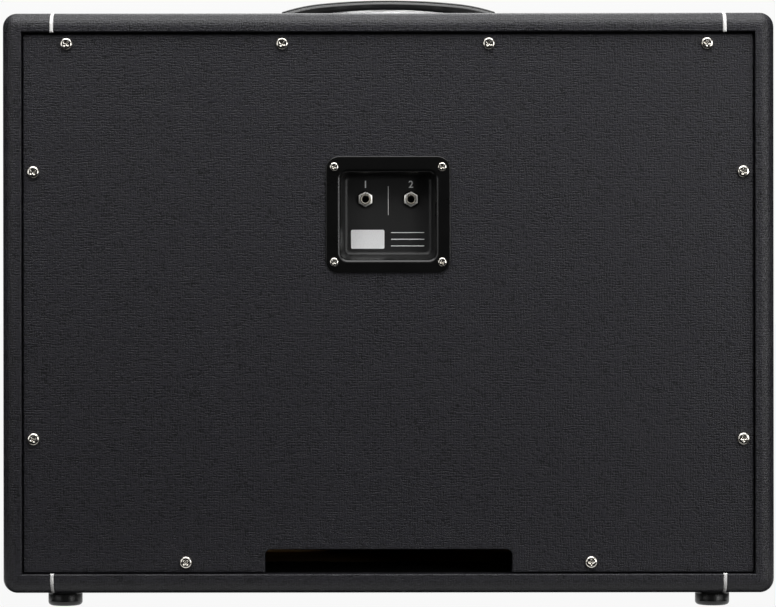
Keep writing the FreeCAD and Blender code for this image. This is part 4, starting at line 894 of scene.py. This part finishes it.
def numeral(text, x):
    """Printed number above a jack."""
    curve = bpy.data.curves.new("numeral_" + text, "FONT")
    curve.body = text
    curve.size = 9.0 * MM
    curve.align_x = "CENTER"
    curve.extrude = 0.06 * MM
    curve.offset = 0.12 * MM
    made = bpy.data.objects.new("numeral_" + text, curve)
    bpy.context.scene.collection.objects.link(made)
    bpy.context.view_layer.update()
    mesh = bpy.data.meshes.new_from_object(made.evaluated_get(bpy.context.evaluated_depsgraph_get()))
    bpy.data.objects.remove(made)
    mesh.transform(Matrix.Translation((x, dish_floor_y, numeral_z)) @ FACING_BACK.to_4x4())
    printed = bpy.data.objects.new("numeral_" + text, mesh)
    bpy.context.scene.collection.objects.link(printed)
    paint(printed, ink)
    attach(printed, "cabinet")


printed_fields()
numeral("1", jack_x)
numeral("2", -jack_x)


# Floor, light and camera


def seen_white(tree, lit, strength):
    """Shader that camera, glossy and transmission rays see as white, and other rays as the lit one."""
    path = tree.nodes.new("ShaderNodeLightPath")
    seen = path.outputs["Is Camera Ray"]
    for ray in ("Is Glossy Ray", "Is Transmission Ray"):
        either = tree.nodes.new("ShaderNodeMath")
        either.operation = "MAXIMUM"
        tree.links.new(seen, either.inputs[0])
        tree.links.new(path.outputs[ray], either.inputs[1])
        seen = either.outputs[0]
    share = tree.nodes.new("ShaderNodeMath")
    share.operation = "MULTIPLY"
    share.inputs[1].default_value = strength
    tree.links.new(seen, share.inputs[0])
    white = tree.nodes.new("ShaderNodeEmission")
    white.inputs["Color"].default_value = WHITE
    both = tree.nodes.new("ShaderNodeMixShader")
    tree.links.new(share.outputs[0], both.inputs[0])
    tree.links.new(lit, both.inputs[1])
    tree.links.new(white.outputs[0], both.inputs[2])
    return both.outputs[0]


def world():
    """White surroundings that light the object softly."""
    made = bpy.data.worlds.new("studio")
    made.use_nodes = True
    tree = made.node_tree
    tree.nodes["Background"].inputs["Color"].default_value = WHITE
    tree.nodes["Background"].inputs["Strength"].default_value = 0.07
    shown = seen_white(tree, tree.nodes["Background"].outputs[0], 1.0)
    tree.links.new(shown, tree.nodes["World Output"].inputs["Surface"])
    bpy.context.scene.world = made


def sheet_of(name, outline, finish):
    """Flat stage piece with four corners."""
    mesh = bpy.data.meshes.new(name)
    mesh.from_pydata(outline, [], [(0, 1, 2, 3)])
    made = bpy.data.objects.new(name, mesh)
    bpy.context.scene.collection.objects.link(made)
    made.data.materials.append(finish)
    return made


def floor():
    """Pale floor that keeps a faint shadow."""
    f = Finish("floor")
    f.done(f.mix(f.speckle(3.0, 3.0), grey(68), grey(76)), 0.9, Specular_IOR_Level=0.0)
    shown = seen_white(f.tree, f.shader.outputs[0], 0.98)
    f.tree.links.new(shown, f.tree.nodes["Material Output"].inputs["Surface"])
    far = 30
    sheet_of("floor", [(-far, -far, 0), (far, -far, 0), (far, far, 0), (-far, far, 0)], f.material)


def flags():
    """Dark cloths, unseen by the camera, that keep white out of the outer edges and the faces towards it.

    One stands behind the camera, two stand round each side of the cabinet, three lie on the floor away from it
    and one lies under its rear edge as painted shadow, dark where the floor is in the cabinet's shade.
    Left and right are as the camera sees them.
    """
    foot_z = 0.02
    lying_z = 0.004
    f = Finish("flag")
    f.done(f.mix(f.speckle(3.0, 3.0), grey(16), grey(26)), 0.9, Specular_IOR_Level=0.0)
    cloths = {}
    for name, x0, y0, x1, y1, height in (
        ("camera", -2.6, 4.4, 2.6, 4.4, 3.2),
        ("left_back", 0.42, -1.0, 1.8, -1.0, 1.8),
        ("left_side", 1.8, -1.0, 1.8, 1.6, 2.0),
        ("right_back", -1.8, -1.0, -0.42, -1.0, 1.8),
        ("right_side", -1.8, -1.0, -1.8, 1.6, 2.0),
    ):
        cloths[name] = [(x0, y0, foot_z), (x1, y1, foot_z), (x1, y1, height), (x0, y0, height)]
    for name, x0, y0, x1, y1 in (
        ("front_floor", -1.8, 0.2, 1.8, 4.4),
        ("left_floor", 0.5, -1.0, 1.8, 0.2),
        ("right_floor", -1.8, -1.0, -0.5, 0.2),
        # painted shadow: a dark sheet under the rear edge, standing in for the floor's shade there
        ("under", -0.4, 0.104, 0.4, 0.142),
    ):
        cloths[name] = [(x0, y0, lying_z), (x1, y0, lying_z), (x1, y1, lying_z), (x0, y1, lying_z)]
    for name, outline in cloths.items():
        sheet_of("flag_" + name, outline, f.material).visible_camera = False


def softbox(name, place, aim, width, height, radiance, mirrored=True):
    """Rectangular lamp of this brightness, pointed at a spot, with or without highlights."""
    data = bpy.data.lights.new(name, "AREA")
    data.shape = "RECTANGLE"
    data.size = width
    data.size_y = height
    data.energy = radiance * math.pi * width * height
    made = bpy.data.objects.new(name, data)
    bpy.context.scene.collection.objects.link(made)
    made.location = place
    made.rotation_euler = (Vector(aim) - Vector(place)).to_track_quat("-Z", "Y").to_euler()
    made.visible_camera = False
    made.visible_glossy = mirrored


def camera():
    """Camera at the photograph's viewing point, level with the middle of the back."""
    place = (-0.00567, 2.84333, 0.27939)
    yaw, pitch, roll = 0.0022, -0.0020, -0.0011
    focal_pixels = 3020.2
    image_width = 776
    sensor_width = 36.0
    forward = Vector((math.sin(yaw) * math.cos(pitch), -math.cos(yaw) * math.cos(pitch), math.sin(pitch)))
    right = forward.cross(Vector((0, 0, 1))).normalized()
    up = right.cross(forward)
    turn = Matrix((right, up, -forward)).transposed() @ Matrix.Rotation(roll, 3, "Z")
    data = bpy.data.cameras.new("camera")
    data.sensor_fit = "HORIZONTAL"
    data.sensor_width = sensor_width
    data.lens = focal_pixels / image_width * sensor_width
    data.clip_end = 100.0
    made = bpy.data.objects.new("camera", data)
    bpy.context.scene.collection.objects.link(made)
    made.matrix_world = Matrix.Translation(place) @ turn.to_4x4()
    bpy.context.scene.camera = made


world()
floor()
flags()
softbox("overhead", (0.0, 0.7, 1.75), (0.0, 0.15, 0.3), 2.2, 1.6, 4.2)
softbox("key", (-1.2, 1.45, 0.4), (-0.2, 0.1, 0.3), 0.26, 0.8, 9.0)
softbox("fill", (1.2, 1.45, 0.62), (0.3, 0.1, 0.3), 0.35, 1.0, 1.0)
softbox("right_side", (-1.5, 0.95, 0.55), (-0.34, 0.0, 0.3), 0.4, 0.9, 5.4)
softbox("left_side", (1.5, 0.95, 0.55), (0.34, 0.0, 0.3), 0.4, 0.9, 2.2)
softbox("right_wash", (-1.5, -0.5, 0.8), (-0.34, -0.1, 0.3), 0.8, 1.0, 3.2, False)
softbox("left_wash", (1.5, -0.5, 0.8), (0.34, -0.1, 0.3), 0.8, 1.0, 4.0, False)
softbox("grille_top", (0.0, -1.5, 1.7), (0.0, 0.0, 0.3), 2.2, 1.2, 2.4)
softbox("grille_low", (0.0, -1.4, 0.4), (0.0, 0.0, 0.3), 0.7, 0.5, 9.0)
camera()
bpy.context.scene.view_settings.view_transform = "Standard"
